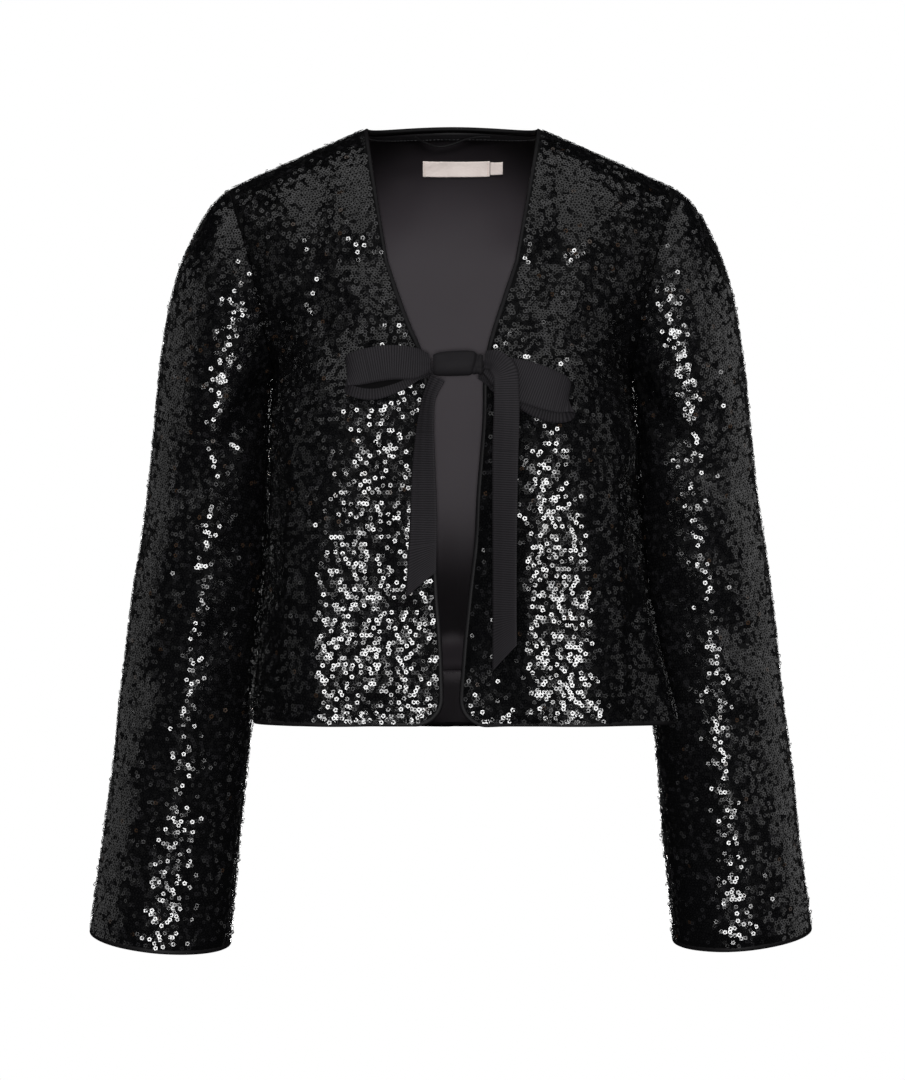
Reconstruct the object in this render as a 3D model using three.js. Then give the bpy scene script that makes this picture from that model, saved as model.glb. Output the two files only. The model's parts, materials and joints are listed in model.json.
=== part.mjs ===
// A cropped, lined cardigan of sequinned cloth, tied at the bust with a ribbon bow, in the hollow form it has when worn.
// Millimetres. +X is the wearer's left, -Y the front, +Z up. The origin lies midway between the two high points
// of the shoulders, where the wearer's neck carries the garment.
// Each panel is a grid of points worked out from the tables below, thickened to a wall of cloth.
import * as THREE from "three";

// Driving dimensions
const SHELL = 2.2; // the sequinned cloth
const LINING = 1.0;
const SEAM_GAP = 0.3;
const NECK_HALF = 75; // from the centre to the high point of the shoulder
const NECK_BACK = 62; // how far back the nape lies
const NECK_RISE = 8; // the nape's height above the high points
const SHOULDER_TIP = { x: 189, y: 2, z: -50 };
const ACROSS = { z: -120, front: { x: 168, y: -58 }, back: { x: 172, y: 60 } }; // the widest part of the armhole
const ARMPIT_Z = -205;
const HEM_Z = -500; // at the front
const BACK_HEM_DROP = 12;
const HEM_DROP_FADE_Z = -380;
const FRONT_CORNER_RADIUS = 20;
const BINDING = 3.2; // width of the satin binding on every edge
const BINDING_PROUD = 0.6; // how far it stands out on each face of the cloth
const FACING = 45; // height of the satin facing inside the back hem
const LINING_PLEAT = 7; // depth of the ease pleat in the lining above the facing

// How many steps each grid has
const CORNER_STEPS = 3;
const SIDE_STEPS = 8; // corner to armpit
const LOW_ARMHOLE_STEPS = 5; // armpit to the armhole's widest part
const HIGH_ARMHOLE_STEPS = 5; // and on to the shoulder
const FRONT_COLUMNS = 7;
const NECK_COLUMNS = 3; // of the back, on each side of its centre
const SLEEVE_RINGS = 19;

// The body at each height: its depth at the centre front and back, where the side seams lie on the wearer's left
// and right, and by how many degrees the cloth has turned past the widest place when it reaches the seam.
// frontPower makes the front's section squarer the lower it is: an ellipse has 1.
const BODY = [
  { z: -500, front: -124, back: 104, left: 176, right: 163, leftTurn: 28, rightTurn: 16, seamY: 10, frontPower: 0.56 },
  { z: -420, front: -128, back: 101, left: 163, right: 157, leftTurn: 20, rightTurn: 15, seamY: 7, frontPower: 0.58 },
  { z: -340, front: -132, back: 102, left: 155, right: 152, leftTurn: 14, rightTurn: 13, seamY: 4, frontPower: 0.62 },
  { z: -270, front: -132, back: 106, left: 152, right: 151, leftTurn: 8, rightTurn: 8, seamY: 2, frontPower: 0.69 },
  { z: -205, front: -126, back: 111, left: 151, right: 152, leftTurn: 0, rightTurn: 0, seamY: 0, frontPower: 0.8 },
  { z: -160, front: -117, back: 112, left: 151, right: 152, leftTurn: 0, rightTurn: 0, seamY: 0, frontPower: 0.88 },
  { z: -120, front: -105, back: 110, left: 151, right: 152, leftTurn: 0, rightTurn: 0, seamY: 0, frontPower: 0.88 },
];

// The finished front edge: how far it stands from the centre on each side.
const FRONT_EDGE = [
  { z: -500, left: 3.5, right: 6.5 },
  { z: -440, left: 6, right: 8 },
  { z: -380, left: 12, right: 12 },
  { z: -320, left: 18, right: 13 },
  { z: -254, left: 23.5, right: 17 },
  { z: -216, left: 24.5, right: 20 },
  { z: -194, left: 27.5, right: 25 },
  { z: -174, left: 33, right: 33.5 },
  { z: -150, left: 41, right: 42.5 },
  { z: -120, left: 50.5, right: 52 },
];

// The sleeve from the armhole seam to the cuff: its outermost and innermost points seen from the front,
// half its depth, where its middle lies front to back on each side, and how much lower its front is than its middle.
const SLEEVE = [
  { outX: 189, outZ: -50, inX: 151.5, inZ: -205, depth: 59, leftY: 2, rightY: 2, dip: 0 },
  { outX: 205, outZ: -65, inX: 152.5, inZ: -209, depth: 61, leftY: 2, rightY: 2, dip: 0 },
  { outX: 218, outZ: -87, inX: 153.5, inZ: -215, depth: 62, leftY: 3, rightY: 3, dip: 0 },
  { outX: 230.5, outZ: -116, inX: 154.5, inZ: -224, depth: 62.5, leftY: 5, rightY: 5, dip: 0 },
  { outX: 240.5, outZ: -152, inX: 155, inZ: -238, depth: 62, leftY: 8, rightY: 8, dip: 0 },
  { outX: 248.5, outZ: -200, inX: 155, inZ: -262, depth: 61, leftY: 13, rightY: 12, dip: 0 },
  { outX: 255, outZ: -260, inX: 155.5, inZ: -303, depth: 59.5, leftY: 18, rightY: 16, dip: 0 },
  { outX: 264, outZ: -328, inX: 157.5, inZ: -358, depth: 57, leftY: 24, rightY: 19, dip: 0 },
  { outX: 274, outZ: -402, inX: 163, inZ: -421, depth: 55, leftY: 30, rightY: 22, dip: 0 },
  { outX: 284, outZ: -480, inX: 171, inZ: -488, depth: 53, leftY: 37, rightY: 25, dip: 1 },
  { outX: 294, outZ: -560, inX: 178, inZ: -562, depth: 51.5, leftY: 43, rightY: 27, dip: 3 },
  { outX: 303, outZ: -630, inX: 185, inZ: -636, depth: 50.5, leftY: 47, rightY: 29, dip: 5.5 },
  { outX: 310.6, outZ: -684, inX: 190.5, inZ: -695, depth: 50, leftY: 52, rightY: 31, dip: 8 },
];
const ARMHOLE_FADE = 4; // rows of the table over which the armhole's own outline fades into the tube

// Soft folds of the body, each along a line seen from the front or back. A positive height is a ridge.
const FRONT_FOLDS = [
  { side: 1, x1: 108, z1: -235, x2: 114, z2: -470, width: 46, height: 6.5 }, // the cloth hangs from the bust
  { side: -1, x1: 106, z1: -240, x2: 114, z2: -470, width: 42, height: 8 },
  { side: 1, x1: 92, z1: -50, x2: 84, z2: -150, width: 13, height: -5 }, // drawn in from the shoulder
  { side: -1, x1: 112, z1: -60, x2: 108, z2: -165, width: 14, height: -5 },
  { side: 1, x1: 150, z1: -300, x2: 150, z2: -480, width: 15, height: -6 }, // troughs beside the bust
  { side: -1, x1: 148, z1: -290, x2: 146, z2: -480, width: 15, height: -5 },
  { side: 1, x1: 30, z1: -360, x2: 40, z2: -480, width: 14, height: -5 },
  { side: 1, x1: 150, z1: -170, x2: 120, z2: -230, width: 15, height: -5 }, // from the armpit to the bust
  { side: -1, x1: 150, z1: -170, x2: 118, z2: -235, width: 15, height: -4.5 },
];
const BACK_FOLDS = [
  { side: 1, x1: 70, z1: -110, x2: 78, z2: -200, width: 45, height: 5 }, // shoulder blades
  { side: -1, x1: 70, z1: -110, x2: 76, z2: -200, width: 45, height: 5 },
  { side: 1, x1: 58, z1: -330, x2: 64, z2: -495, width: 20, height: 6 }, // flare above the hem
  { side: 1, x1: 112, z1: -300, x2: 120, z2: -495, width: 18, height: -5 },
  { side: -1, x1: 46, z1: -320, x2: 50, z2: -495, width: 18, height: 5 },
  { side: -1, x1: 100, z1: -340, x2: 108, z2: -495, width: 20, height: 6 },
  { side: -1, x1: 10, z1: -350, x2: 4, z2: -495, width: 16, height: -4 },
];
// Folds of the sleeves, each along a line of angle round the sleeve (0 in front, 90 outside) and height.
const SLEEVE_FOLDS = [
  { side: 1, a1: -60, z1: -225, a2: 10, z2: -290, width: 16, height: -6 },
  { side: 1, a1: 20, z1: -250, a2: 60, z2: -330, width: 18, height: -3.5 },
  { side: 1, a1: -30, z1: -400, a2: 40, z2: -440, width: 20, height: -4 },
  { side: 1, a1: 140, z1: -250, a2: 190, z2: -330, width: 20, height: -5 },
  { side: 1, a1: -10, z1: -540, a2: -6, z2: -680, width: 22, height: 3 },
  { side: -1, a1: -60, z1: -220, a2: 12, z2: -300, width: 17, height: -6 },
  { side: -1, a1: 25, z1: -270, a2: 70, z2: -350, width: 18, height: -3.5 },
  { side: -1, a1: -25, z1: -430, a2: 45, z2: -480, width: 20, height: -4 },
  { side: -1, a1: 145, z1: -260, a2: 195, z2: -340, width: 20, height: -5 },
];
const SLEEVE_RADIUS = 55; // turns an angle round the sleeve into a distance
const EDGE_ROLL = { left: 12, right: 3, share: 0.2 }; // how far each front edge curls inwards, and over how much of the panel

// The ribbon. Each row is a place on its centreline, how far its face is turned about that line,
// and its width as a share of the ribbon's.
const RIBBON = { width: 30, thickness: 1 };
const TAIL_CUT = 22; // one side of each slanted end is this much longer
const TAIL_CUT_RUN = 45;
const LEFT_TAIL = [
  { x: 26.2, y: -144.8, z: -202.4, turn: 0, share: 0.48 },
  { x: 35, y: -152.5, z: -204.5, turn: 4, share: 0.62 },
  { x: 42, y: -157, z: -213, turn: 6, share: 0.66 },
  { x: 43.5, y: -157.5, z: -232, turn: 8, share: 0.68 },
  { x: 42.5, y: -151, z: -280, turn: 26, share: 0.76 },
  { x: 42, y: -146, z: -340, turn: 36, share: 0.8 },
  { x: 42, y: -141, z: -400, turn: 38, share: 0.8 },
  { x: 42, y: -139, z: -444, turn: 36, share: 0.8 },
];
const RIGHT_TAIL = [
  { x: -12, y: -142, z: -216.4, turn: 34, share: 0.5 },
  { x: -19, y: -142, z: -232, turn: 52, share: 0.55 },
  { x: -22, y: -142, z: -252, turn: 50, share: 0.68 },
  { x: -23.5, y: -141, z: -290, turn: 36, share: 0.76 },
  { x: -23.5, y: -140, z: -330, turn: 26, share: 0.8 },
  { x: -25.5, y: -139, z: -384, turn: 20, share: 0.84 },
];
const RIGHT_LOOP = [
  { x: -18.4, y: -144, z: -205, turn: 0, share: 0.5 },
  { x: -30, y: -149, z: -205.5, turn: -6, share: 0.84 },
  { x: -50, y: -153, z: -205, turn: -10, share: 0.94 },
  { x: -70, y: -153, z: -208, turn: -8, share: 0.94 },
  { x: -81, y: -149, z: -211, turn: -4, share: 0.94 },
  { x: -84.5, y: -143.5, z: -214.5, turn: 0, share: 0.92 },
  { x: -81, y: -139, z: -218, turn: 2, share: 0.92 },
  { x: -66, y: -137, z: -221, turn: 8, share: 0.9 },
  { x: -46, y: -136.5, z: -217, turn: 10, share: 0.76 },
  { x: -30, y: -137, z: -210, turn: 6, share: 0.58 },
  { x: -18.4, y: -138.5, z: -206, turn: 0, share: 0.42 },
];
const LEFT_LOOP = [
  { x: 27.6, y: -141, z: -207, turn: 0, share: 0.4 },
  { x: 40, y: -144.5, z: -212.5, turn: -10, share: 0.84 },
  { x: 56, y: -149, z: -219, turn: -12, share: 1.12 },
  { x: 75, y: -152, z: -226, turn: -10, share: 1.14 },
  { x: 89, y: -149, z: -231, turn: -8, share: 1.1 },
  { x: 94, y: -144, z: -234.5, turn: -6, share: 1.06 },
  { x: 90, y: -139.5, z: -238, turn: -6, share: 1.04 },
  { x: 75, y: -138, z: -236.5, turn: -14, share: 1.0 },
  { x: 56, y: -137.4, z: -226.5, turn: -16, share: 0.9 },
  { x: 40, y: -137, z: -216.5, turn: -10, share: 0.7 },
  { x: 27.6, y: -137, z: -208.5, turn: 0, share: 0.36 },
];
const RIGHT_STUB = [
  { x: -44, y: -127.2, z: -214, turn: 0, share: 0.58 },
  { x: -34, y: -127.3, z: -211.5, turn: 0, share: 0.56 },
  { x: -25, y: -131, z: -209.5, turn: 0, share: 0.52 },
  { x: -16.4, y: -136.2, z: -207, turn: 0, share: 0.48 },
];
const LEFT_STUB = [
  { x: 22.5, y: -135.4, z: -210, turn: 0, share: 0.5 },
  { x: 29.5, y: -130.1, z: -213.5, turn: 0, share: 0.58 },
  { x: 34.5, y: -125.7, z: -217, turn: 0, share: 0.62 },
  { x: 40, y: -125.3, z: -221, turn: 0, share: 0.62 },
];
// The knot: the half height, half depth and middle of its section at each place across the front.
const KNOT = [
  { x: -15.8, high: 7.4, deep: 4.4, y: -141, z: -206 },
  { x: -13, high: 9, deep: 5.4, y: -141.5, z: -206 },
  { x: -4, high: 10, deep: 6.6, y: -142, z: -205.5 },
  { x: 8, high: 10.2, deep: 6.8, y: -142, z: -205 },
  { x: 17, high: 9.6, deep: 6, y: -142, z: -205 },
  { x: 20, high: 8.2, deep: 4.8, y: -141.5, z: -205.5 },
  { x: 23, high: 8.6, deep: 5, y: -141.5, z: -206 },
  { x: 24.6, high: 7.4, deep: 4.4, y: -141, z: -206 },
];
const KNOT_SIDES = 12;

// What is sewn inside the nape: the labels, and the loop's line with how far it stands off the lining
const LABEL = { fromX: -26, toX: 32.6, fromZ: -30, toZ: -17.5, thickness: 1, lift: 0.3 };
const SIZE_TAB = { fromX: 33, toX: 44, fromZ: -28.5, toZ: -18.5, thickness: 1, lift: 0.9 };
const HANGER = { radius: 1.1, sides: 6, steps: 16 };
const HANGER_LINE = [
  { x: -33, z: 2.4, clear: 0.3 },
  { x: -24, z: -1.5, clear: 1.5 },
  { x: -12, z: -4, clear: 2 },
  { x: 0, z: -2, clear: 2 },
  { x: 12, z: 1.6, clear: 1.5 },
  { x: 24, z: 3, clear: 1 },
  { x: 33, z: 2, clear: 0.3 },
];

const CLOTH = { color: 0x141416, roughness: 0.35, metalness: 0.5 };
const SATIN = { color: 0x2c2a2d, roughness: 0.4, metalness: 0 };
const GROSGRAIN = { color: 0x29272b, roughness: 0.85, metalness: 0 };
const LABEL_SATIN = { color: 0xe9d9d4, roughness: 0.5, metalness: 0 };

const mix = THREE.MathUtils.lerp;
const radians = THREE.MathUtils.degToRad;
const smoothstep = THREE.MathUtils.smoothstep;
const smooth = (t) => smoothstep(t, 0, 1);
const vector = (x, y, z) => new THREE.Vector3(x, y, z);
const steps = (count) => Array.from({ length: count + 1 }, (_, i) => i / count);
const ROUND_POWER = 0.88; // of the back's sections, a little fuller than an ellipse
const signedPower = (value, power) => Math.sign(value) * Math.abs(value) ** power;

// The smooth value of a table's column where its key column reaches a given value.
function readTable(table, key, column, at) {
  const rising = table[table.length - 1][key] > table[0][key];
  let i = 0;
  while (i < table.length - 2 && (rising ? at > table[i + 1][key] : at < table[i + 1][key])) i++;
  const slope = (a, b) => (table[b][column] - table[a][column]) / (table[b][key] - table[a][key]);
  const last = table.length - 1;
  const span = table[i + 1][key] - table[i][key];
  const t = THREE.MathUtils.clamp((at - table[i][key]) / span, 0, 1);
  const from = slope(Math.max(i - 1, 0), Math.min(i + 1, last)) * span;
  const to = slope(i, Math.min(i + 2, last)) * span;
  const [a, b] = [table[i][column], table[i + 1][column]];
  return a + t * (from + t * (3 * (b - a) - 2 * from - to + t * (from + to - 2 * (b - a))));
}

// The same for a table whose rows are evenly spaced, by row number.
function readRows(table, column, row) {
  const numbered = table.map((entry, index) => ({ index, value: entry[column] }));
  return readTable(numbered, "index", "value", row);
}

const sideName = (side) => (side > 0 ? "left" : "right");

// The rows that every panel of the body shares, from the hem to the shoulder.
const PANEL_HEM_Z = HEM_Z + BINDING + SEAM_GAP;
function bodyRows() {
  const rows = [];
  for (const t of steps(CORNER_STEPS)) {
    const angle = radians(90 * t);
    const rise = FRONT_CORNER_RADIUS * (1 - Math.cos(angle));
    rows.push({ zone: "side", z: PANEL_HEM_Z + rise, corner: FRONT_CORNER_RADIUS * (1 - Math.sin(angle)) });
  }
  for (const t of steps(SIDE_STEPS).slice(1)) {
    rows.push({ zone: "side", z: mix(PANEL_HEM_Z + FRONT_CORNER_RADIUS, ARMPIT_Z, t), corner: 0 });
  }
  for (const t of steps(LOW_ARMHOLE_STEPS).slice(1)) rows.push({ zone: "armhole", t });
  for (const t of steps(HIGH_ARMHOLE_STEPS).slice(1)) rows.push({ zone: "shoulder", t });
  return rows;
}
const ROWS = bodyRows();
const ARMPIT_ROW = CORNER_STEPS + SIDE_STEPS;
const ACROSS_ROW = { zone: "armhole", t: 1 };

// A point on the arc of cloth from one place to another, sweeping through an angle. Equal steps of u stay
// near equal lengths of cloth in a squarer arc too.
function arcPoint(from, to, sweep, power, u) {
  const angle = radians(sweep) * u ** (ROUND_POWER / power);
  const whole = radians(sweep);
  const across = signedPower(Math.sin(angle), power) / signedPower(Math.sin(whole), power);
  const inwards = (1 - signedPower(Math.cos(angle), power)) / (1 - signedPower(Math.cos(whole), power));
  return vector(mix(from.x, to.x, across), mix(from.y, to.y, inwards), mix(from.z, to.z, u * u));
}

// Where a row of the body meets the side seam or, above the armpit, the lower armhole.
function sidePoint(row, side, face) {
  const name = sideName(side);
  if (row.zone === "side") {
    const x = readTable(BODY, "z", name, row.z);
    return { x, y: readTable(BODY, "z", "seamY", row.z), z: row.z };
  }
  const angle = radians(90 * row.t);
  const widest = ACROSS[face];
  return {
    x: mix(readTable(BODY, "z", name, ARMPIT_Z), widest.x, 1 - Math.cos(angle)),
    y: widest.y * Math.sin(angle),
    z: mix(ARMPIT_Z, ACROSS.z, 1 - Math.cos(angle)),
  };
}

// How far the arc of a row sweeps before it meets that seam.
function sweepOf(row, side, face) {
  const sign = face === "front" ? 1 : -1;
  if (row.zone === "side") return 90 + sign * readTable(BODY, "z", sideName(side) + "Turn", row.z);
  return 90 - 27 * Math.sin(radians(90 * row.t));
}

function shoulderPoint(t) {
  return vector(mix(NECK_HALF, SHOULDER_TIP.x, t), SHOULDER_TIP.y * t, SHOULDER_TIP.z * t);
}

// From the armhole's widest part the cloth rounds over to its top edge, sweeping through an angle of the profile.
function closeOver(base, top, sweep, t) {
  const angle = radians(sweep) * t;
  const rise = Math.sin(angle) / Math.sin(radians(sweep));
  const inwards = (1 - Math.cos(angle)) / (1 - Math.cos(radians(sweep)));
  return vector(mix(base.x, top.x, rise), mix(base.y, top.y, inwards), mix(base.z, top.z, rise));
}

// The front panel of one side. u runs from the front edge to the side seam. x is positive here on both sides.
function frontPoint(row, side, u) {
  if (row.zone === "shoulder") return closeOver(frontPoint(ACROSS_ROW, side, u), shoulderPoint(u), 90, row.t);
  const z = row.zone === "side" ? row.z : mix(ARMPIT_Z, ACROSS.z, row.t);
  const finished = readTable(FRONT_EDGE, "z", sideName(side), z) + (row.corner || 0);
  const edge = { x: finished + BINDING + SEAM_GAP, y: readTable(BODY, "z", "front", z), z };
  const power = readTable(BODY, "z", "frontPower", z);
  const point = arcPoint(edge, sidePoint(row, side, "front"), sweepOf(row, side, "front"), power, u);
  const fade = smoothstep(z, HEM_Z, HEM_Z + 60) * (1 - smoothstep(z, -240, -200)) * 0.75 + 0.25;
  const curl = Math.max(0, 1 - u / EDGE_ROLL.share) ** 2;
  point.y += EDGE_ROLL[sideName(side)] * curl * fade * (row.zone === "side" ? 1 : 1 - row.t);
  return point;
}

// The back panel. v runs from -1 on the wearer's right to 1 on the left.
const BACK_NECK = NECK_COLUMNS / (NECK_COLUMNS + FRONT_COLUMNS); // the high point of the shoulder lies here
function backPoint(row, v) {
  const side = v < 0 ? -1 : 1;
  const u = Math.abs(v);
  if (row.zone === "shoulder") {
    const neckShare = Math.min(u / BACK_NECK, 1);
    const angle = radians(90 * neckShare);
    const nape = vector(
      NECK_HALF * Math.sin(angle),
      NECK_BACK * Math.cos(angle),
      NECK_RISE * Math.cos(angle) ** 2,
    );
    const top = u < BACK_NECK ? nape : shoulderPoint((u - BACK_NECK) / (1 - BACK_NECK));
    top.x *= side;
    return closeOver(backPoint(ACROSS_ROW, v), top, mix(52, 90, neckShare), row.t);
  }
  const z = row.zone === "side" ? row.z : mix(ARMPIT_Z, ACROSS.z, row.t);
  const centre = { x: 0, y: readTable(BODY, "z", "back", z), z };
  const point = arcPoint(centre, sidePoint(row, side, "back"), sweepOf(row, side, "back"), ROUND_POWER, u);
  point.z -= BACK_HEM_DROP * Math.cos(radians(90 * u)) * smoothstep(-z, -HEM_DROP_FADE_Z, -HEM_Z);
  point.x *= side;
  return point;
}

// How far a place lies from the line of a fold, as a bell over the fold's width.
function foldHeight(folds, side, across, z, names) {
  let height = 0;
  for (const fold of folds) {
    if (fold.side !== side) continue;
    const [a1, a2] = names.map((name) => fold[name] * (names[0] === "a1" ? radians(SLEEVE_RADIUS) : 1));
    const [dx, dz] = [a2 - a1, fold.z2 - fold.z1];
    const along = THREE.MathUtils.clamp(((across - a1) * dx + (z - fold.z1) * dz) / (dx * dx + dz * dz), 0, 1);
    const off = Math.hypot(across - a1 - along * dx, z - fold.z1 - along * dz);
    height += fold.height * Math.exp(-((off / fold.width) ** 2));
  }
  return height;
}

// A normal for every point of a grid: the mean of the faces round it, facing the way that turned says.
// A wrapped grid closes on itself across.
function gridNormals(grid, turned, wrapped = false) {
  const columns = grid[0].length;
  const normals = grid.map((row) => row.map(() => vector(0, 0, 0)));
  for (let r = 0; r < grid.length - 1; r++) {
    for (let c = 0; c < (wrapped ? columns : columns - 1); c++) {
      const next = (c + 1) % columns;
      const rising = grid[r + 1][next].clone().sub(grid[r][c]);
      const face = rising.cross(grid[r + 1][c].clone().sub(grid[r][next])).normalize().multiplyScalar(turned);
      for (const [i, j] of [[r, c], [r, next], [r + 1, c], [r + 1, next]]) normals[i][j].add(face);
    }
  }
  return normals.map((row) => row.map((normal) => normal.normalize()));
}

// Moves the inner points of a grid along their normals. The outline stays, so that seams still meet.
function addFolds(grid, turned, wrapped, heightAt) {
  const normals = gridNormals(grid, turned, wrapped);
  grid.forEach((row, r) =>
    row.forEach((point, c) => {
      point.addScaledVector(normals[r][c], heightAt(point, r, c));
    }),
  );
}

function frontGrid(side) {
  const grid = ROWS.map((row) => steps(FRONT_COLUMNS).map((u) => frontPoint(row, side, u)));
  addFolds(grid, 1, false, (point, r, c) => {
    const inside = smooth(Math.min((FRONT_COLUMNS - c) / 2, (ROWS.length - 1 - r) / 2, 1));
    return inside * foldHeight(FRONT_FOLDS, side, point.x, point.z, ["x1", "x2"]);
  });
  for (const row of grid) for (const point of row) point.x *= side;
  return grid;
}

function backGrid() {
  const half = NECK_COLUMNS + FRONT_COLUMNS;
  const grid = ROWS.map((row) => steps(2 * half).map((t) => backPoint(row, 2 * t - 1)));
  addFolds(grid, -1, false, (point, r, c) => {
    const inside = smooth(Math.min(c / 2, (2 * half - c) / 2, (ROWS.length - 1 - r) / 2, 1));
    const side = point.x < 0 ? -1 : 1;
    return inside * foldHeight(BACK_FOLDS, side, Math.abs(point.x), point.z, ["x1", "x2"]);
  });
  return grid;
}

// The armhole seam, from the armpit up the front, over the shoulder and down the back.
function armholeRing(front, back, side) {
  const seamColumn = side > 0 ? back[0].length - 1 : 0;
  const up = front.slice(ARMPIT_ROW).map((row) => row[FRONT_COLUMNS]);
  const down = back.slice(ARMPIT_ROW + 1, -1).map((row) => row[seamColumn]);
  return [...up, ...down.reverse()].map((point) => point.clone());
}

function sleeveGrid(armhole, side) {
  const columns = armhole.length;
  const middle = sideName(side) + "Y";
  const ringAt = (row) => {
    const read = (column) => readRows(SLEEVE, column, row);
    const [outX, outZ, inX, inZ] = [read("outX"), read("outZ"), read("inX"), read("inZ")];
    return armhole.map((_, j) => {
      const angle = radians((360 * j) / columns - 90);
      const reach = (1 + Math.sin(angle)) / 2;
      return vector(
        side * mix(inX, outX, reach),
        read(middle) - read("depth") * Math.cos(angle),
        mix(inZ, outZ, reach) - read("dip") * Math.cos(angle),
      );
    });
  };
  const first = ringAt(0);
  const grid = steps(SLEEVE_RINGS).map((t) => {
    const row = t * (SLEEVE.length - 1);
    const fade = 1 - smooth(Math.min(row / ARMHOLE_FADE, 1));
    return ringAt(row).map((point, j) => point.add(armhole[j].clone().sub(first[j]).multiplyScalar(fade)));
  });
  addFolds(grid, -side, true, (point, r, c) => {
    const inside = smooth(Math.min(r / 3, 1));
    const heightAt = (angle) =>
      foldHeight(SLEEVE_FOLDS, side, radians(angle) * SLEEVE_RADIUS, point.z, ["a1", "a2"]);
    const angle = (360 * c) / columns - 90;
    return inside * (heightAt(angle) + heightAt(angle - 360));
  });
  return grid;
}

// Where panels meet they share one normal, so that their walls end on one plane. Equal normals count once.
function shareNormals(panels) {
  const shared = new Map();
  const keyOf = (point) => point.toArray().map((value) => Math.round(value * 50)).join();
  for (const { grid, normals } of panels) {
    grid.forEach((row, r) =>
      row.forEach((point, c) => {
        const found = shared.get(keyOf(point)) || [];
        if (found.every((other) => other.dot(normals[r][c]) < 0.9999)) found.push(normals[r][c].clone());
        shared.set(keyOf(point), found);
      }),
    );
  }
  const meanOf = (found) => found.reduce((sum, normal) => sum.add(normal), vector(0, 0, 0)).normalize();
  for (const { grid, normals } of panels) {
    grid.forEach((row, r) => row.forEach((point, c) => normals[r][c].copy(meanOf(shared.get(keyOf(point))))));
  }
}

// Draws a grid's outline in along the cloth, by a distance for each edge.
function drawIn(grid, { first = 0, last = 0, low = 0, high = 0 }) {
  const inner = grid.map((row) => row.map((point) => point.clone()));
  const shift = (point, towards, distance) => {
    if (distance) point.add(towards.clone().sub(point).setLength(distance));
  };
  const top = grid.length - 1;
  const end = grid[0].length - 1;
  inner.forEach((row, r) => {
    shift(row[0], grid[r][1], first);
    shift(row[end], grid[r][end - 1], last);
  });
  for (let c = 0; c <= end; c++) {
    shift(inner[0][c], inner[1][c], low);
    shift(inner[top][c], inner[top - 1][c], high);
  }
  return inner;
}

// A closed wall between two depths under a grid. Rows and columns are joined to their neighbours, and rims close it.
function wall(grid, normals, fromDepth, toDepth, wrapped = false) {
  const rows = grid.length;
  const columns = grid[0].length;
  const positions = [];
  for (const depth of [fromDepth, toDepth]) {
    grid.forEach((row, r) =>
      row.forEach((point, c) => positions.push(...point.clone().addScaledVector(normals[r][c], -depth))),
    );
  }
  const at = (layer, r, c) => (layer * rows + r) * columns + (c % columns);
  const index = [];
  const quad = (a, b, c, d) => index.push(a, b, c, a, c, d);
  const across = wrapped ? columns : columns - 1;
  for (let r = 0; r < rows - 1; r++) {
    for (let c = 0; c < across; c++) {
      quad(at(0, r, c), at(0, r, c + 1), at(0, r + 1, c + 1), at(0, r + 1, c));
      quad(at(1, r, c), at(1, r + 1, c), at(1, r + 1, c + 1), at(1, r, c + 1));
    }
  }
  for (let c = 0; c < across; c++) {
    quad(at(0, 0, c + 1), at(0, 0, c), at(1, 0, c), at(1, 0, c + 1));
    quad(at(0, rows - 1, c), at(0, rows - 1, c + 1), at(1, rows - 1, c + 1), at(1, rows - 1, c));
  }
  for (let r = 0; r < rows - 1 && !wrapped; r++) {
    quad(at(0, r, 0), at(0, r + 1, 0), at(1, r + 1, 0), at(1, r, 0));
    quad(at(0, r + 1, across), at(0, r, across), at(1, r, across), at(1, r + 1, across));
  }
  return closedGeometry(positions, index);
}

// A geometry whose faces point out, whichever way round its grid ran.
function closedGeometry(positions, index) {
  const corner = (i) => vector(...positions.slice(3 * i, 3 * i + 3));
  let volume = 0;
  for (let i = 0; i < index.length; i += 3) {
    const [a, b, c] = [corner(index[i]), corner(index[i + 1]), corner(index[i + 2])];
    volume += a.dot(b.cross(c));
  }
  if (volume < 0) for (let i = 0; i < index.length; i += 3) [index[i], index[i + 1]] = [index[i + 1], index[i]];
  const geometry = new THREE.BufferGeometry();
  geometry.setAttribute("position", new THREE.Float32BufferAttribute(positions, 3));
  geometry.setIndex(index);
  geometry.computeVertexNormals();
  return geometry;
}

// A solid whose outline is given at each step of a route, closed at both ends unless the route is a ring.
function loft(sections, ring = false) {
  const sides = sections[0].length;
  const positions = sections.flat().flatMap((point) => point.toArray());
  const at = (s, k) => (s % sections.length) * sides + (k % sides);
  const index = [];
  const spans = ring ? sections.length : sections.length - 1;
  for (let s = 0; s < spans; s++) {
    for (let k = 0; k < sides; k++) {
      index.push(at(s, k), at(s, k + 1), at(s + 1, k + 1), at(s, k), at(s + 1, k + 1), at(s + 1, k));
    }
  }
  for (let k = 1; k < sides - 1 && !ring; k++) {
    index.push(at(0, 0), at(0, k + 1), at(0, k));
    index.push(at(sections.length - 1, 0), at(sections.length - 1, k), at(sections.length - 1, k + 1));
  }
  return closedGeometry(positions, index);
}

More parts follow.
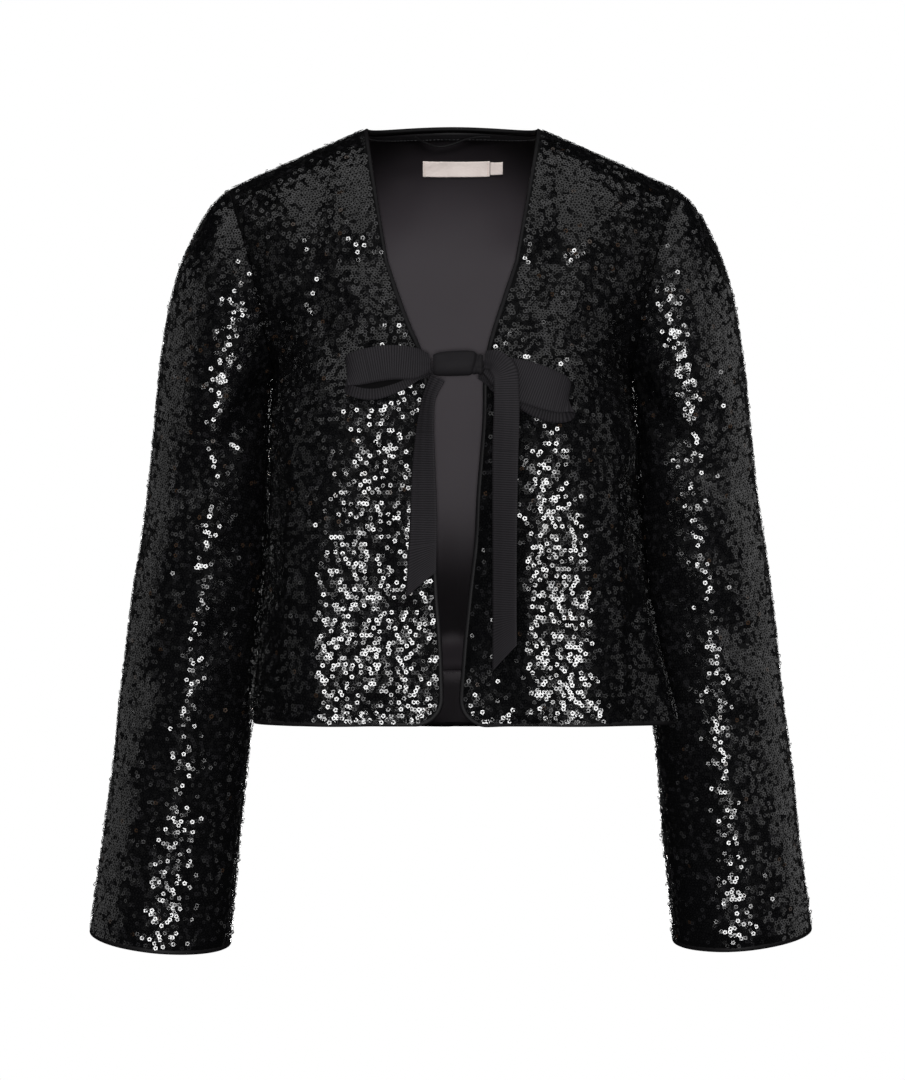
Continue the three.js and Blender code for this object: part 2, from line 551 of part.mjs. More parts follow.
// Satin binding folded round a cloth edge. Each place of the edge has its point, the cloth's normal
// and the direction out of the cloth; the outer corners of the section are rounded off.
const CLOTH_DEPTH = SHELL + SEAM_GAP + LINING;
function binding(places, ring = false) {
  const sections = places.map(({ point, normal, out, depth = CLOTH_DEPTH }) => {
    const corner = (outwards, inwards) =>
      point.clone().addScaledVector(out, outwards).addScaledVector(normal, -inwards);
    const [low, high] = [-BINDING_PROUD, depth + BINDING_PROUD];
    return [
      corner(SEAM_GAP, low),
      corner(SEAM_GAP + BINDING * 0.6, low),
      corner(SEAM_GAP + BINDING, low + 0.3 * (high - low)),
      corner(SEAM_GAP + BINDING, low + 0.7 * (high - low)),
      corner(SEAM_GAP + BINDING * 0.6, high),
      corner(SEAM_GAP, high),
    ];
  });
  return loft(sections, ring);
}

// The places of a binding along a list of grid points, from their neighbours one step inside the cloth.
function edgePlaces(points, inside, normals) {
  return points.map((point, i) => {
    const before = points[Math.max(i - 1, 0)];
    const after = points[Math.min(i + 1, points.length - 1)];
    const along = after.clone().sub(before);
    const out = along.cross(normals[i]).normalize();
    if (out.dot(point.clone().sub(inside[i])) < 0) out.negate();
    return { point, normal: normals[i], out };
  });
}

// Bindings that meet end to end share the direction out of the cloth there, so their ends lie on one plane.
function shareEnds(runs) {
  const ends = runs.flatMap((places) => [places[0], places.at(-1)]);
  const outs = ends.map((end) => {
    const meeting = ends.filter((other) => other.point.distanceTo(end.point) < SEAM_GAP);
    return meeting.reduce((sum, other) => sum.add(other.out), vector(0, 0, 0)).normalize();
  });
  ends.forEach((end, i) => (end.out = outs[i]));
}

// Takes the ends of a run of places in by half a seam.
function trimEnds(places) {
  const trimmed = places.map((place) => ({ ...place, point: place.point.clone() }));
  const pull = (from, to) => from.point.add(to.point.clone().sub(from.point).setLength(SEAM_GAP / 2 + 0.1));
  pull(trimmed[0], places[1]);
  pull(trimmed[trimmed.length - 1], places[places.length - 2]);
  return trimmed;
}

// A strip of ribbon along a table of places. A loop's ribbon stands on edge; any other lies flat to the front.
const RIBBON_STEPS = 3; // between two rows of the table
const RIBBON_ACROSS = 2;
function ribbon(table, { cut = 0, onEdge = false } = {}) {
  const curve = new THREE.CatmullRomCurve3(table.map(({ x, y, z }) => vector(x, y, z)), false, "centripetal");
  const count = (table.length - 1) * RIBBON_STEPS;
  const grid = [];
  const normals = [];
  for (let i = 0; i <= count; i++) {
    const t = i / count;
    const tangent = curve.getTangent(t);
    const across = onEdge
      ? vector(0, 0, 1).addScaledVector(tangent, -tangent.z)
      : tangent.clone().cross(vector(0, -1, 0));
    const row = t * (table.length - 1);
    across.normalize().applyAxisAngle(tangent, radians(readRows(table, "turn", row)));
    const width = RIBBON.width * readRows(table, "share", row);
    const middle = curve.getPoint(t);
    const left = curve.getLength() * (1 - t);
    grid.push(
      steps(RIBBON_ACROSS).map((a) => {
        const slant = cut * (a - 0.5) * smooth(1 - Math.min(left / TAIL_CUT_RUN, 1));
        return middle.clone().addScaledVector(across, (a - 0.5) * width).addScaledVector(tangent, slant);
      }),
    );
    const normal = across.clone().cross(tangent).normalize();
    normals.push(steps(RIBBON_ACROSS).map(() => normal));
  }
  return wall(grid, normals, -RIBBON.thickness / 2, RIBBON.thickness / 2);
}

function knotSolid() {
  const sections = KNOT.map(({ x, high, deep, y, z }) =>
    Array.from({ length: KNOT_SIDES }, (_, k) => {
      const angle = (2 * Math.PI * k) / KNOT_SIDES;
      return vector(x, y + deep * Math.cos(angle), z + high * Math.sin(angle));
    }),
  );
  return loft(sections);
}

// The place on the lining of the back that lies behind a point seen from the front, with the way it faces.
function onLining(mesh, x, z) {
  const ray = new THREE.Raycaster(vector(x, -300, z), vector(0, 1, 0));
  const { point, face } = ray.intersectObject(mesh)[0];
  return { point, normal: face.normal.clone() };
}

// A small panel lying on the lining.
function lyingPanel(mesh, { fromX, toX, fromZ, toZ, thickness, lift }, columns) {
  const grid = [];
  const normals = [];
  for (const t of steps(1)) {
    const places = steps(columns).map((u) => onLining(mesh, mix(fromX, toX, u), mix(fromZ, toZ, t)));
    grid.push(places.map(({ point }) => point));
    normals.push(places.map(({ normal }) => normal));
  }
  return wall(grid, normals, -lift, -lift - thickness);
}

function hangerLoop(mesh) {
  const places = HANGER_LINE.map(({ x, z, clear }) => {
    const { point, normal } = onLining(mesh, x, z);
    return point.addScaledVector(normal, clear + HANGER.radius);
  });
  const curve = new THREE.CatmullRomCurve3(places);
  const section = new THREE.Shape();
  section.setFromPoints(
    Array.from({ length: HANGER.sides }, (_, k) => {
      const angle = (2 * Math.PI * k) / HANGER.sides;
      return new THREE.Vector2(HANGER.radius * Math.cos(angle), HANGER.radius * Math.sin(angle));
    }),
  );
  return new THREE.ExtrudeGeometry(section, { steps: HANGER.steps, extrudePath: curve, bevelEnabled: false });
}

const garment = new THREE.Group();
function add(name, geometry, look) {
  const mesh = new THREE.Mesh(geometry, new THREE.MeshStandardMaterial(look));
  mesh.name = name;
  garment.add(mesh);
  return mesh;
}

// The shell: two fronts, a back and two sleeves
const half = SEAM_GAP / 2 + 0.1;
const back = { grid: backGrid() };
back.normals = gridNormals(back.grid, -1);
const fronts = [1, -1].map((side) => {
  const grid = frontGrid(side);
  return { side, grid, normals: gridNormals(grid, side) };
});
const sleeves = fronts.map(({ side, grid }) => {
  const tube = sleeveGrid(armholeRing(grid, back.grid, side), side);
  return { side, grid: tube, normals: gridNormals(tube, -side, true) };
});
for (const { normals } of [back, ...fronts]) for (const normal of normals[0]) normal.setZ(0).normalize(); // the hem's rim is level
shareNormals([back, ...fronts]);
shareNormals([back, ...fronts, ...sleeves]);

add("back", wall(drawIn(back.grid, { first: half, last: half, high: half }), back.normals, 0, SHELL), CLOTH);
for (const { side, grid, normals } of fronts) {
  const name = sideName(side);
  const drawn = drawIn(grid, { last: half, high: half });
  add("front_" + name, wall(drawn, normals, 0, SHELL), CLOTH);
  add("lining_front_" + name, wall(drawn, normals, SHELL + SEAM_GAP, CLOTH_DEPTH), SATIN);
}
for (const { side, grid, normals } of sleeves) {
  const cuff = grid.length - 1;
  const drawn = drawIn(grid, { low: half, high: BINDING + SEAM_GAP });
  add("sleeve_" + sideName(side), wall(drawn, normals, 0, SHELL, true), CLOTH);
  const places = drawn[cuff].map((point, c) => ({
    point,
    normal: normals[cuff][c],
    out: point.clone().sub(drawn[cuff - 1][c]).normalize(),
    depth: SHELL,
  }));
  add("cuff_binding_" + sideName(side), binding(places, true), SATIN);
}

// The back's lining stops at the hem facing, with its ease pleat pushed inwards just above it.
const facingTop = back.grid.findIndex((row) => row[NECK_COLUMNS + FRONT_COLUMNS].z > HEM_Z - BACK_HEM_DROP + FACING);
const liningRows = back.grid.slice(facingTop);
const liningNormals = back.normals.slice(facingTop);
const pleated = liningRows.map((row, r) =>
  row.map((point, c) => point.clone().addScaledVector(liningNormals[r][c], r === 1 ? -LINING_PLEAT : 0)),
);
const liningDrawn = drawIn(pleated, { first: half, last: half, low: half, high: half });
const liningBack = add("lining_back", wall(liningDrawn, liningNormals, SHELL + SEAM_GAP, CLOTH_DEPTH), SATIN);
const facingDrawn = drawIn(back.grid.slice(0, facingTop + 1), { first: half, last: half, high: half });
const facingNormals = back.normals.slice(0, facingTop + 1);
add("facing_hem_back", wall(facingDrawn, facingNormals, SHELL + SEAM_GAP, CLOTH_DEPTH), SATIN);

// Bindings: each front's runs from the shoulder down the edge, round the corner and along the hem.
const bindingRuns = new Map();
for (const { side, grid, normals } of fronts) {
  const rows = [...grid.keys()].reverse();
  const points = [...rows.map((r) => grid[r][0]), ...grid[0].slice(1)];
  const inside = [...rows.map((r) => grid[r][1]), ...grid[1].slice(1)];
  const edgeNormals = [...rows.map((r) => normals[r][0]), ...normals[0].slice(1)];
  bindingRuns.set("edge_binding_" + sideName(side), edgePlaces(points, inside, edgeNormals));
}
bindingRuns.set("hem_binding_back", edgePlaces(back.grid[0], back.grid[1], back.normals[0]));
const neckColumns = [FRONT_COLUMNS, FRONT_COLUMNS + 2 * NECK_COLUMNS + 1];
const [topRow, underRow] = [back.grid.at(-1), back.grid.at(-2)].map((row) => row.slice(...neckColumns));
bindingRuns.set("neck_binding_back", edgePlaces(topRow, underRow, back.normals.at(-1).slice(...neckColumns)));
shareEnds([...bindingRuns.values()]);
for (const [name, places] of bindingRuns) add(name, binding(trimEnds(places)), SATIN);

// The bow, and what is sewn inside the nape
add("tie_knot", knotSolid(), GROSGRAIN);
add("tie_loop_left", ribbon(LEFT_LOOP, { onEdge: true }), GROSGRAIN);
add("tie_loop_right", ribbon(RIGHT_LOOP, { onEdge: true }), GROSGRAIN);
add("tie_tail_left", ribbon(LEFT_TAIL, { cut: TAIL_CUT }), GROSGRAIN);
add("tie_tail_right", ribbon(RIGHT_TAIL, { cut: TAIL_CUT }), GROSGRAIN);
add("tie_stub_left", ribbon(LEFT_STUB, { onEdge: true }), GROSGRAIN);
add("tie_stub_right", ribbon(RIGHT_STUB, { onEdge: true }), GROSGRAIN);
add("label", lyingPanel(liningBack, LABEL, 6), LABEL_SATIN);
add("size_tab", lyingPanel(liningBack, SIZE_TAB, 2), LABEL_SATIN);
add("hanger_loop", hangerLoop(liningBack), SATIN);

export default garment;
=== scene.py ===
"""The looks of a cropped, lined cardigan of sequinned cloth, tied at the bust with a ribbon bow.

Shapes are worked out in millimetres, in the frame of the solids, and set into Blender in metres.
+X is the wearer's left, -Y the front, +Z up.
"""

import json

import bpy
import numpy as np
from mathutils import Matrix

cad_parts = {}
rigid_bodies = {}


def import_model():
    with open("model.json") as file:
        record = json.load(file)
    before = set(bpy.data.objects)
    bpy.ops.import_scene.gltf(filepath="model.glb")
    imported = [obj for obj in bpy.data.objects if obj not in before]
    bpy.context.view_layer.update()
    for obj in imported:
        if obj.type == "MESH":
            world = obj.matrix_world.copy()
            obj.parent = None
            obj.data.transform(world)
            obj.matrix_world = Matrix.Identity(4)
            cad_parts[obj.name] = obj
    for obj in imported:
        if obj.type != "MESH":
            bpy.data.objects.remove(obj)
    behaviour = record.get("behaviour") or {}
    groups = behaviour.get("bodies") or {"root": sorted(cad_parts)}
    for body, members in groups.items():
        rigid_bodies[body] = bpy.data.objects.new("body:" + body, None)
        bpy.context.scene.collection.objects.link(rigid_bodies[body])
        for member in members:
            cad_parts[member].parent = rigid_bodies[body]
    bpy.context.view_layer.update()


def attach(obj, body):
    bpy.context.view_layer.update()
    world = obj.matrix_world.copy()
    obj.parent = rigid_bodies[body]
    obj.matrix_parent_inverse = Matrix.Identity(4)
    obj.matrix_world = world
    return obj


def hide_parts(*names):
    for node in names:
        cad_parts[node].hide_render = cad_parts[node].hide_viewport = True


MM = 0.001

# Sizes shared with the solids
SHELL = 1.5
SOLID_SHELL = 2.2
LINING = 0.8
SEAM_GAP = 0.3
NECK_HALF = 75
NECK_BACK = 62
NECK_RISE = 8
SHOULDER_TIP = np.array([189.0, 2.0, -50.0])
ACROSS_Z = -120
ACROSS = {"front": (168, -58), "back": (172, 60)}
ARMPIT_Z = -205
HEM_Z = -500
BACK_HEM_DROP = 12
HEM_DROP_FADE_Z = -380
FRONT_CORNER_RADIUS = 20
BINDING = 3.2
PANEL_HEM_Z = HEM_Z + BINDING + SEAM_GAP
EDGE_ROLL = {"left": 12, "right": 3}
EDGE_ROLL_SHARE = 0.2
ROUND_POWER = 0.88  # of the back's sections, a little fuller than an ellipse
LOW_ARMHOLE_TURN = 27
NAPE_SWEEP = 52
BACK_NECK_SHARE = 0.3
# Rows of the solids' grid of a panel, from hem to shoulder, and its columns in a front and half the back
CORNER_ROW, ARMPIT_ROW, ACROSS_ROW, LAST_ROW = 3, 11, 16, 21
FRONT_STEPS, BACK_STEPS = 7, 10
# The last row of the sleeve's table, the rings of the solid's sleeve, and the places round each of them
LAST_RING = 12
SOLID_RINGS = 19
RING_PLACES = 20
ARMHOLE_FADE = 4
SLEEVE_RADIUS = 55
FACING_TOP = -464

BODY_COLUMNS = ("z", "front", "back", "left", "right", "left_turn", "right_turn", "seam_y", "front_power")
BODY = [
    (-500, -124, 104, 176, 163, 28, 16, 10, 0.56),
    (-420, -128, 101, 163, 157, 20, 15, 7, 0.58),
    (-340, -132, 102, 155, 152, 14, 13, 4, 0.62),
    (-270, -132, 106, 152, 151, 8, 8, 2, 0.69),
    (-205, -126, 111, 151, 152, 0, 0, 0, 0.8),
    (-160, -117, 112, 151, 152, 0, 0, 0, 0.88),
    (-120, -105, 110, 151, 152, 0, 0, 0, 0.88),
]
EDGE_COLUMNS = ("z", "left", "right")
FRONT_EDGE = [
    (-500, 3.5, 6.5),
    (-440, 6, 8),
    (-380, 12, 12),
    (-320, 18, 13),
    (-254, 23.5, 17),
    (-216, 24.5, 20),
    (-194, 27.5, 25),
    (-174, 33, 33.5),
    (-150, 41, 42.5),
    (-120, 50.5, 52),
]
SLEEVE_COLUMNS = ("out_x", "out_z", "in_x", "in_z", "depth", "left_y", "right_y", "dip")
SLEEVE = [
    (189, -50, 151.5, -205, 59, 2, 2, 0),
    (205, -65, 152.5, -209, 61, 2, 2, 0),
    (218, -87, 153.5, -215, 62, 3, 3, 0),
    (230.5, -116, 154.5, -224, 62.5, 5, 5, 0),
    (240.5, -152, 155, -238, 62, 8, 8, 0),
    (248.5, -200, 155, -262, 61, 13, 12, 0),
    (255, -260, 155.5, -303, 59.5, 18, 16, 0),
    (264, -328, 157.5, -358, 57, 24, 19, 0),
    (274, -402, 163, -421, 55, 30, 22, 0),
    (284, -480, 171, -488, 53, 37, 25, 1),
    (294, -560, 178, -562, 51.5, 43, 27, 3),
    (303, -630, 185, -636, 50.5, 47, 29, 5.5),
    (310.6, -684, 190.5, -695, 50, 52, 31, 8),
]

# Folds: side, a place across and a height at each end, the width and the height of the fold.
# Those of the solids come first in each list, then the smaller ones that only show in the looks.
FRONT_FOLDS = [
    (1, 108, -235, 114, -470, 46, 6.5),
    (-1, 106, -240, 114, -470, 42, 8),
    (1, 92, -50, 84, -150, 13, -5),
    (-1, 112, -60, 108, -165, 14, -5),
    (1, 150, -300, 150, -480, 15, -6),
    (-1, 148, -290, 146, -480, 15, -5),
    (1, 30, -360, 40, -480, 14, -5),
    (1, 150, -170, 120, -230, 15, -5),
    (-1, 150, -170, 118, -235, 15, -4.5),
    (1, 66, -340, 60, -470, 11, 1.6),
    (1, 104, -320, 112, -450, 12, 1.8),
    (-1, 60, -330, 54, -470, 12, 1.8),
    (-1, 106, -340, 112, -470, 11, 1.4),
    (-1, 128, -120, 100, -190, 9, -1.6),
    (1, 130, -120, 104, -180, 9, -1.6),
    (1, 30, -375, 40, -480, 14, 3),
    (1, 8, -350, 8, -500, 30, -6),
    (1, 128, -300, 130, -470, 20, 2.5),
]
BACK_FOLDS = [
    (1, 70, -110, 78, -200, 45, 5),
    (-1, 70, -110, 76, -200, 45, 5),
    (1, 58, -330, 64, -495, 20, 6),
    (1, 112, -300, 120, -495, 18, -5),
    (-1, 46, -320, 50, -495, 18, 5),
    (-1, 100, -340, 108, -495, 20, 6),
    (-1, 10, -350, 4, -495, 16, -4),
    (1, 120, -150, 90, -230, 12, -2.2),
    (-1, 122, -150, 92, -230, 12, -2.2),
]
SLEEVE_FOLDS = [
    (1, -60, -225, 10, -290, 16, -6),
    (1, 20, -250, 60, -330, 18, -3.5),
    (1, -30, -400, 40, -440, 20, -4),
    (1, 140, -250, 190, -330, 20, -5),
    (1, -10, -540, -6, -680, 22, 3),
    (-1, -60, -220, 12, -300, 17, -6),
    (-1, 25, -270, 70, -350, 18, -3.5),
    (-1, -25, -430, 45, -480, 20, -4),
    (-1, 145, -260, 195, -340, 20, -5),
    (1, -40, -330, 20, -365, 11, -1.8),
    (1, 10, -500, 70, -530, 13, -1.6),
    (-1, -35, -350, 25, -390, 11, -1.8),
    (-1, 5, -540, 60, -575, 13, -1.6),
    (1, 100, -300, 150, -350, 12, -1.8),
    (-1, 100, -310, 150, -360, 12, -1.8),
    (-1, -6, -250, -2, -560, 11, 2.6),
    (1, -4, -300, 2, -600, 11, 2.0),
]

# How far the back's lining hangs into the garment, to drop in an ease pleat over the facing
LINING_EASE_COLUMNS = ("z", "inward")
LINING_EASE = [
    (-464, 0.4),
    (-461, 1.4),
    (-457, 2.6),
    (-452, 3.8),
    (-448, 7),
    (-444, 10.6),
    (-440, 12.6),
    (-436, 13.1),
    (-431, 12.8),
    (-424, 11.2),
    (-405, 7.6),
    (-380, 4),
    (-350, 1.2),
    (-320, 0.2),
    (-290, 0),
]
LINING_FOLDS = [
    (1, -40, -22, -8, -12, 4.5, 1.2),
    (1, -8, -12, 24, -8, 4, 1.1),
    (1, 30, -10, 44, -22, 4.5, 1.0),
    (1, -46, -30, -30, -18, 4, -1.0),
    (1, 36, -36, 50, -70, 8, 0.8),
    (1, -44, -44, -54, -90, 9, 0.8),
    (1, -30, -150, -10, -200, 16, 1.0),
    (1, 24, -190, 30, -260, 14, 0.9),
]

# The ribbon: places on its centreline, how far it is turned about that line, and its width as a share.
RIBBON_COLUMNS = ("x", "y", "z", "turn", "share")
RIBBON_WIDTH = 30  # of a share of one
RIBBON_THICK = 0.7
RIB_PITCH = 1.9
RIB_HEIGHT = 0.07
RIB_STEPS = 4
RIBBON_COLUMNS_ACROSS = 13
TAIL_CUT = 22
TAIL_CUT_RUN = 45
TAIL_CUP = 1.5
LOOP_CUP = 2.2
SELVEDGE = 0.46  # where the ribbon's smooth edge starts, as a share of its width from the middle
SELVEDGE_THICK = 0.12
# A loop's inside carries painted shade past this share of its length, and above this share of its width
# from the middle
PAINTED_SHADE_FROM = 0.56
PAINTED_SHADE_ABOVE = -0.17
LEFT_TAIL = [
    (26.2, -144.8, -202.4, 0, 0.48),
    (35, -152.5, -204.5, 4, 0.62),
    (42, -157, -213, 6, 0.66),
    (43.5, -157.5, -232, 8, 0.68),
    (42.5, -151, -280, 26, 0.76),
    (42, -146, -340, 36, 0.8),
    (42, -141, -400, 38, 0.8),
    (42, -139, -444, 36, 0.8),
]
RIGHT_TAIL = [
    (-12, -142, -216.4, 34, 0.5),
    (-19, -142, -232, 52, 0.55),
    (-22, -142, -252, 50, 0.68),
    (-23.5, -141, -290, 36, 0.76),
    (-23.5, -140, -330, 26, 0.8),
    (-25.5, -139, -384, 20, 0.84),
]
RIGHT_LOOP = [
    (-18.4, -144, -205, 0, 0.5),
    (-30, -149, -205.5, -6, 0.84),
    (-50, -153, -205, -10, 0.94),
    (-70, -153, -208, -8, 0.94),
    (-81, -149, -211, -4, 0.88),
    (-84.5, -143.5, -214.5, 0, 0.72),
    (-81, -139, -218, 2, 0.86),
    (-66, -137, -221, 8, 0.9),
    (-46, -136.5, -217, 10, 0.76),
    (-30, -137, -210, 6, 0.58),
    (-18.4, -138.5, -206, 0, 0.42),
]
LEFT_LOOP = [
    (27.6, -141, -207, 0, 0.4),
    (40, -144.5, -212.5, -10, 0.84),
    (56, -149, -219, -12, 1.12),
    (75, -152, -226, -10, 1.14),
    (89, -149, -231, -8, 1.04),
    (94, -144, -234.5, -6, 0.84),
    (90, -139.5, -238, -6, 0.98),
    (75, -138, -236.5, -14, 1.0),
    (56, -137.4, -226.5, -16, 0.9),
    (40, -137, -216.5, -10, 0.7),
    (27.6, -137, -208.5, 0, 0.36),
]
RIGHT_STUB = [
    (-44, -127.2, -214, 0, 0.58),
    (-34, -127.3, -211.5, 0, 0.56),
    (-25, -131, -209.5, 0, 0.52),
    (-16.4, -136.2, -207, 0, 0.48),
]
LEFT_STUB = [
    (22.5, -135.4, -210, 0, 0.5),
    (29.5, -130.1, -213.5, 0, 0.58),
    (34.5, -125.7, -217, 0, 0.62),
    (40, -125.3, -221, 0, 0.62),
]
KNOT_COLUMNS = ("x", "high", "deep", "y", "z")
KNOT = [
    (-15.8, 7.4, 4.4, -141, -206),
    (-13, 9, 5.4, -141.5, -206),
    (-4, 10, 6.6, -142, -205.5),
    (8, 10.2, 6.8, -142, -205),
    (17, 9.6, 6, -142, -205),
    (20, 8.2, 4.8, -141.5, -205.5),
    (23, 8.6, 5, -141.5, -206),
    (24.6, 7.4, 4.4, -141, -206),
]
# The hanger's line: places across and up, and how far it stands off the lining
HANGER_LINE = [
    (-33, 2.4, 0.3), (-24, -1.5, 1.5), (-12, -4, 2), (0, -2, 2), (12, 1.6, 1.5), (24, 3, 1), (33, 2, 0.3),
]
LABEL = {"x": (-26, 32.6), "z": (-30, -17.5)}
SIZE_TAB = {"x": (33, 44), "z": (-28.5, -18.5)}

# Sequins
SEQUIN_RADIUS = 2.02
SEQUIN_HOLE = 1.42  # of the corners of its three-sided hole
ROW_PITCH = 3.08
SEQUIN_PITCH = 3.08
SEQUIN_LIFT = (0.35, 1.05)
TILT_CLUMP = 0.075
TILT_EACH = 0.12
PROUD_SHARE = 0.03  # of them stand proud, lifted and tilted more than the rest
PROUD_TILT = 0.5
PROUD_LIFT = 0.7
# How far chance moves them, as shares of the pitch along a row and between rows, and of their size
COLUMN_SPREAD = 0.13
ROW_SPREAD = 0.12
RADIUS_SPREAD = 0.02
KIND_SHARES = [0.868, 0.125, 0.007]  # black, smoke and bronze
# A ring's triangles: its outline's five corners are 0 to 4, and those of its hole 5 to 7
SEQUIN_FACES = [(0, 1, 5), (1, 6, 5), (1, 2, 6), (2, 3, 6), (3, 7, 6), (3, 4, 7), (4, 0, 7), (0, 5, 7)]

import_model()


# Reading tables and simple maths

def smoothstep(value, low, high):
    t = np.clip((value - low) / (high - low), 0, 1)
    return t * t * (3 - 2 * t)


def mix(a, b, t):
    return a + (b - a) * t


def hermite(a, b, start, end, t):
    """The cubic from a to b that leaves and arrives with the slopes start and end."""
    return a + t * (start + t * (3 * (b - a) - 2 * start - end + t * (start + end - 2 * (b - a))))


def span_of(at, knots):
    """The number of the span between knots that each value lies in."""
    return np.clip(np.searchsorted(knots, at, side="right") - 1, 0, len(knots) - 2)


def read(rows, names, name, at, key="z"):
    """A table's column where its key column reaches the given values, smoothly between the rows."""
    table = np.array(rows, float)
    xs = table[:, names.index(key)] if key else np.arange(len(table), dtype=float)
    ys = table[:, names.index(name)]
    if xs[-1] < xs[0]:
        xs, ys = xs[::-1], ys[::-1]
    slopes = np.empty(len(xs))
    slopes[1:-1] = (ys[2:] - ys[:-2]) / (xs[2:] - xs[:-2])
    slopes[0] = (ys[1] - ys[0]) / (xs[1] - xs[0])
    slopes[-1] = (ys[-1] - ys[-2]) / (xs[-1] - xs[-2])
    at = np.clip(at, xs[0], xs[-1])
    i = span_of(at, xs)
    span = xs[i + 1] - xs[i]
    return hermite(ys[i], ys[i + 1], slopes[i] * span, slopes[i + 1] * span, (at - xs[i]) / span)


def body(name, z):
    return read(BODY, BODY_COLUMNS, name, z)


def points(x, y, z):
    return np.stack(np.broadcast_arrays(x, y, z), -1).astype(float)


def unit(vectors):
    return vectors / np.maximum(np.linalg.norm(vectors, axis=-1, keepdims=True), 1e-12)


def curved(value, power):
    return np.sign(value) * np.abs(value) ** power


def quarter(t):
    return np.radians(90) * t


def distances(line):
    """How far along a line each of its points is."""
    return np.concatenate([[0], np.cumsum(np.linalg.norm(np.diff(line, axis=0), axis=1))])


def along_line(at, distance, line):
    """The points of a line at given distances along it."""
    return np.stack([np.interp(at, distance, line[:, k]) for k in range(3)], 1)


def closed_round(grid):
    """A grid with its first column repeated after its last."""
    return np.concatenate([grid, grid[:, :1]], 1)


def grid_quads(index):
    """The quads between neighbouring places of a grid of point numbers."""
    return np.stack([index[:-1, :-1], index[:-1, 1:], index[1:, 1:], index[1:, :-1]], -1).reshape(-1, 4)


# The panels' surfaces

def row_values(r):
    """Height, corner cut, and shares of the lower armhole and the shoulder, of rows as in the solids."""
    turn = quarter(np.clip(r / CORNER_ROW, 0, 1))
    corner = FRONT_CORNER_RADIUS * (1 - np.sin(turn))
    rising = PANEL_HEM_Z + FRONT_CORNER_RADIUS * (1 - np.cos(turn))

    def share(start, end):
        return np.clip((r - start) / (end - start), 0, 1)

    straight = mix(PANEL_HEM_Z + FRONT_CORNER_RADIUS, ARMPIT_Z, share(CORNER_ROW, ARMPIT_ROW))
    z = np.where(r < CORNER_ROW, rising, straight)
    return z, corner, share(ARMPIT_ROW, ACROSS_ROW), share(ACROSS_ROW, LAST_ROW)


def side_point(z, low, side, face):
    wide_x, wide_y = ACROSS[face]
    armpit_x = body(side, ARMPIT_Z)
    drop = 1 - np.cos(quarter(low))
    x = np.where(low > 0, mix(armpit_x, wide_x, drop), body(side, z))
    y = np.where(low > 0, wide_y * np.sin(quarter(low)), body("seam_y", z))
    return points(x, y, np.where(low > 0, mix(ARMPIT_Z, ACROSS_Z, drop), z))


def sweep_of(z, low, side, face):
    sign = 1 if face == "front" else -1
    below = 90 + sign * body(side + "_turn", z)
    return np.where(low > 0, 90 - LOW_ARMHOLE_TURN * np.sin(quarter(low)), below)


def arc_point(start, end, sweep, power, u):
    angle, whole = np.radians(sweep) * u ** (ROUND_POWER / power), np.radians(sweep)
    across = curved(np.sin(angle), power) / curved(np.sin(whole), power)
    inwards = (1 - curved(np.cos(angle), power)) / (1 - curved(np.cos(whole), power))
    return points(
        mix(start[..., 0], end[..., 0], across),
        mix(start[..., 1], end[..., 1], inwards),
        mix(start[..., 2], end[..., 2], u * u),
    )


def shoulder_point(t):
    return points(mix(NECK_HALF, SHOULDER_TIP[0], t), SHOULDER_TIP[1] * t, SHOULDER_TIP[2] * t)


def close_over(base, top, sweep, t):
    angle, whole = np.radians(sweep) * t, np.radians(sweep)
    rise = np.sin(angle) / np.sin(whole)
    inwards = (1 - np.cos(angle)) / (1 - np.cos(whole))
    return points(
        mix(base[..., 0], top[..., 0], rise),
        mix(base[..., 1], top[..., 1], inwards),
        mix(base[..., 2], top[..., 2], rise),
    )


def front_surface(r, u, side):
    z, corner, low, high = row_values(r)
    centre_z = np.where(low > 0, mix(ARMPIT_Z, ACROSS_Z, low), z)
    edge_x = read(FRONT_EDGE, EDGE_COLUMNS, side, centre_z) + corner + BINDING + SEAM_GAP
    edge = points(edge_x, body("front", centre_z), centre_z)
    sweep, power = sweep_of(z, low, side, "front"), body("front_power", centre_z)
    base = arc_point(edge, side_point(z, low, side, "front"), sweep, power, u)
    fade = smoothstep(centre_z, HEM_Z, HEM_Z + 60) * (1 - smoothstep(centre_z, -240, -200)) * 0.75 + 0.25
    curl = np.maximum(0, 1 - u / EDGE_ROLL_SHARE) ** 2
    base[..., 1] += EDGE_ROLL[side] * curl * fade * (1 - low)
    return close_over(base, shoulder_point(u), 90, high)


def back_surface(r, v):
    z, _, low, high = row_values(r)
    u = np.abs(v)
    centre_z = np.where(low > 0, mix(ARMPIT_Z, ACROSS_Z, low), z)
    centre = points(0, body("back", centre_z), centre_z)
    halves = [
        arc_point(centre, side_point(z, low, side, "back"), sweep_of(z, low, side, "back"), ROUND_POWER, u)
        for side in ("left", "right")
    ]
    base = np.where((v < 0)[..., None], halves[1], halves[0])
    drop = smoothstep(-centre_z, -HEM_DROP_FADE_Z, -HEM_Z)
    base[..., 2] -= BACK_HEM_DROP * np.cos(quarter(u)) * drop
    share = np.minimum(u / BACK_NECK_SHARE, 1)
    angle = quarter(share)
    nape = points(NECK_HALF * np.sin(angle), NECK_BACK * np.cos(angle), NECK_RISE * np.cos(angle) ** 2)
    shoulder = shoulder_point(np.maximum(u - BACK_NECK_SHARE, 0) / (1 - BACK_NECK_SHARE))
    top = np.where((u < BACK_NECK_SHARE)[..., None], nape, shoulder)
    grid = close_over(base, top, mix(NAPE_SWEEP, 90, share), high)
    grid[..., 0] *= np.sign(v) + (v == 0)
    return grid


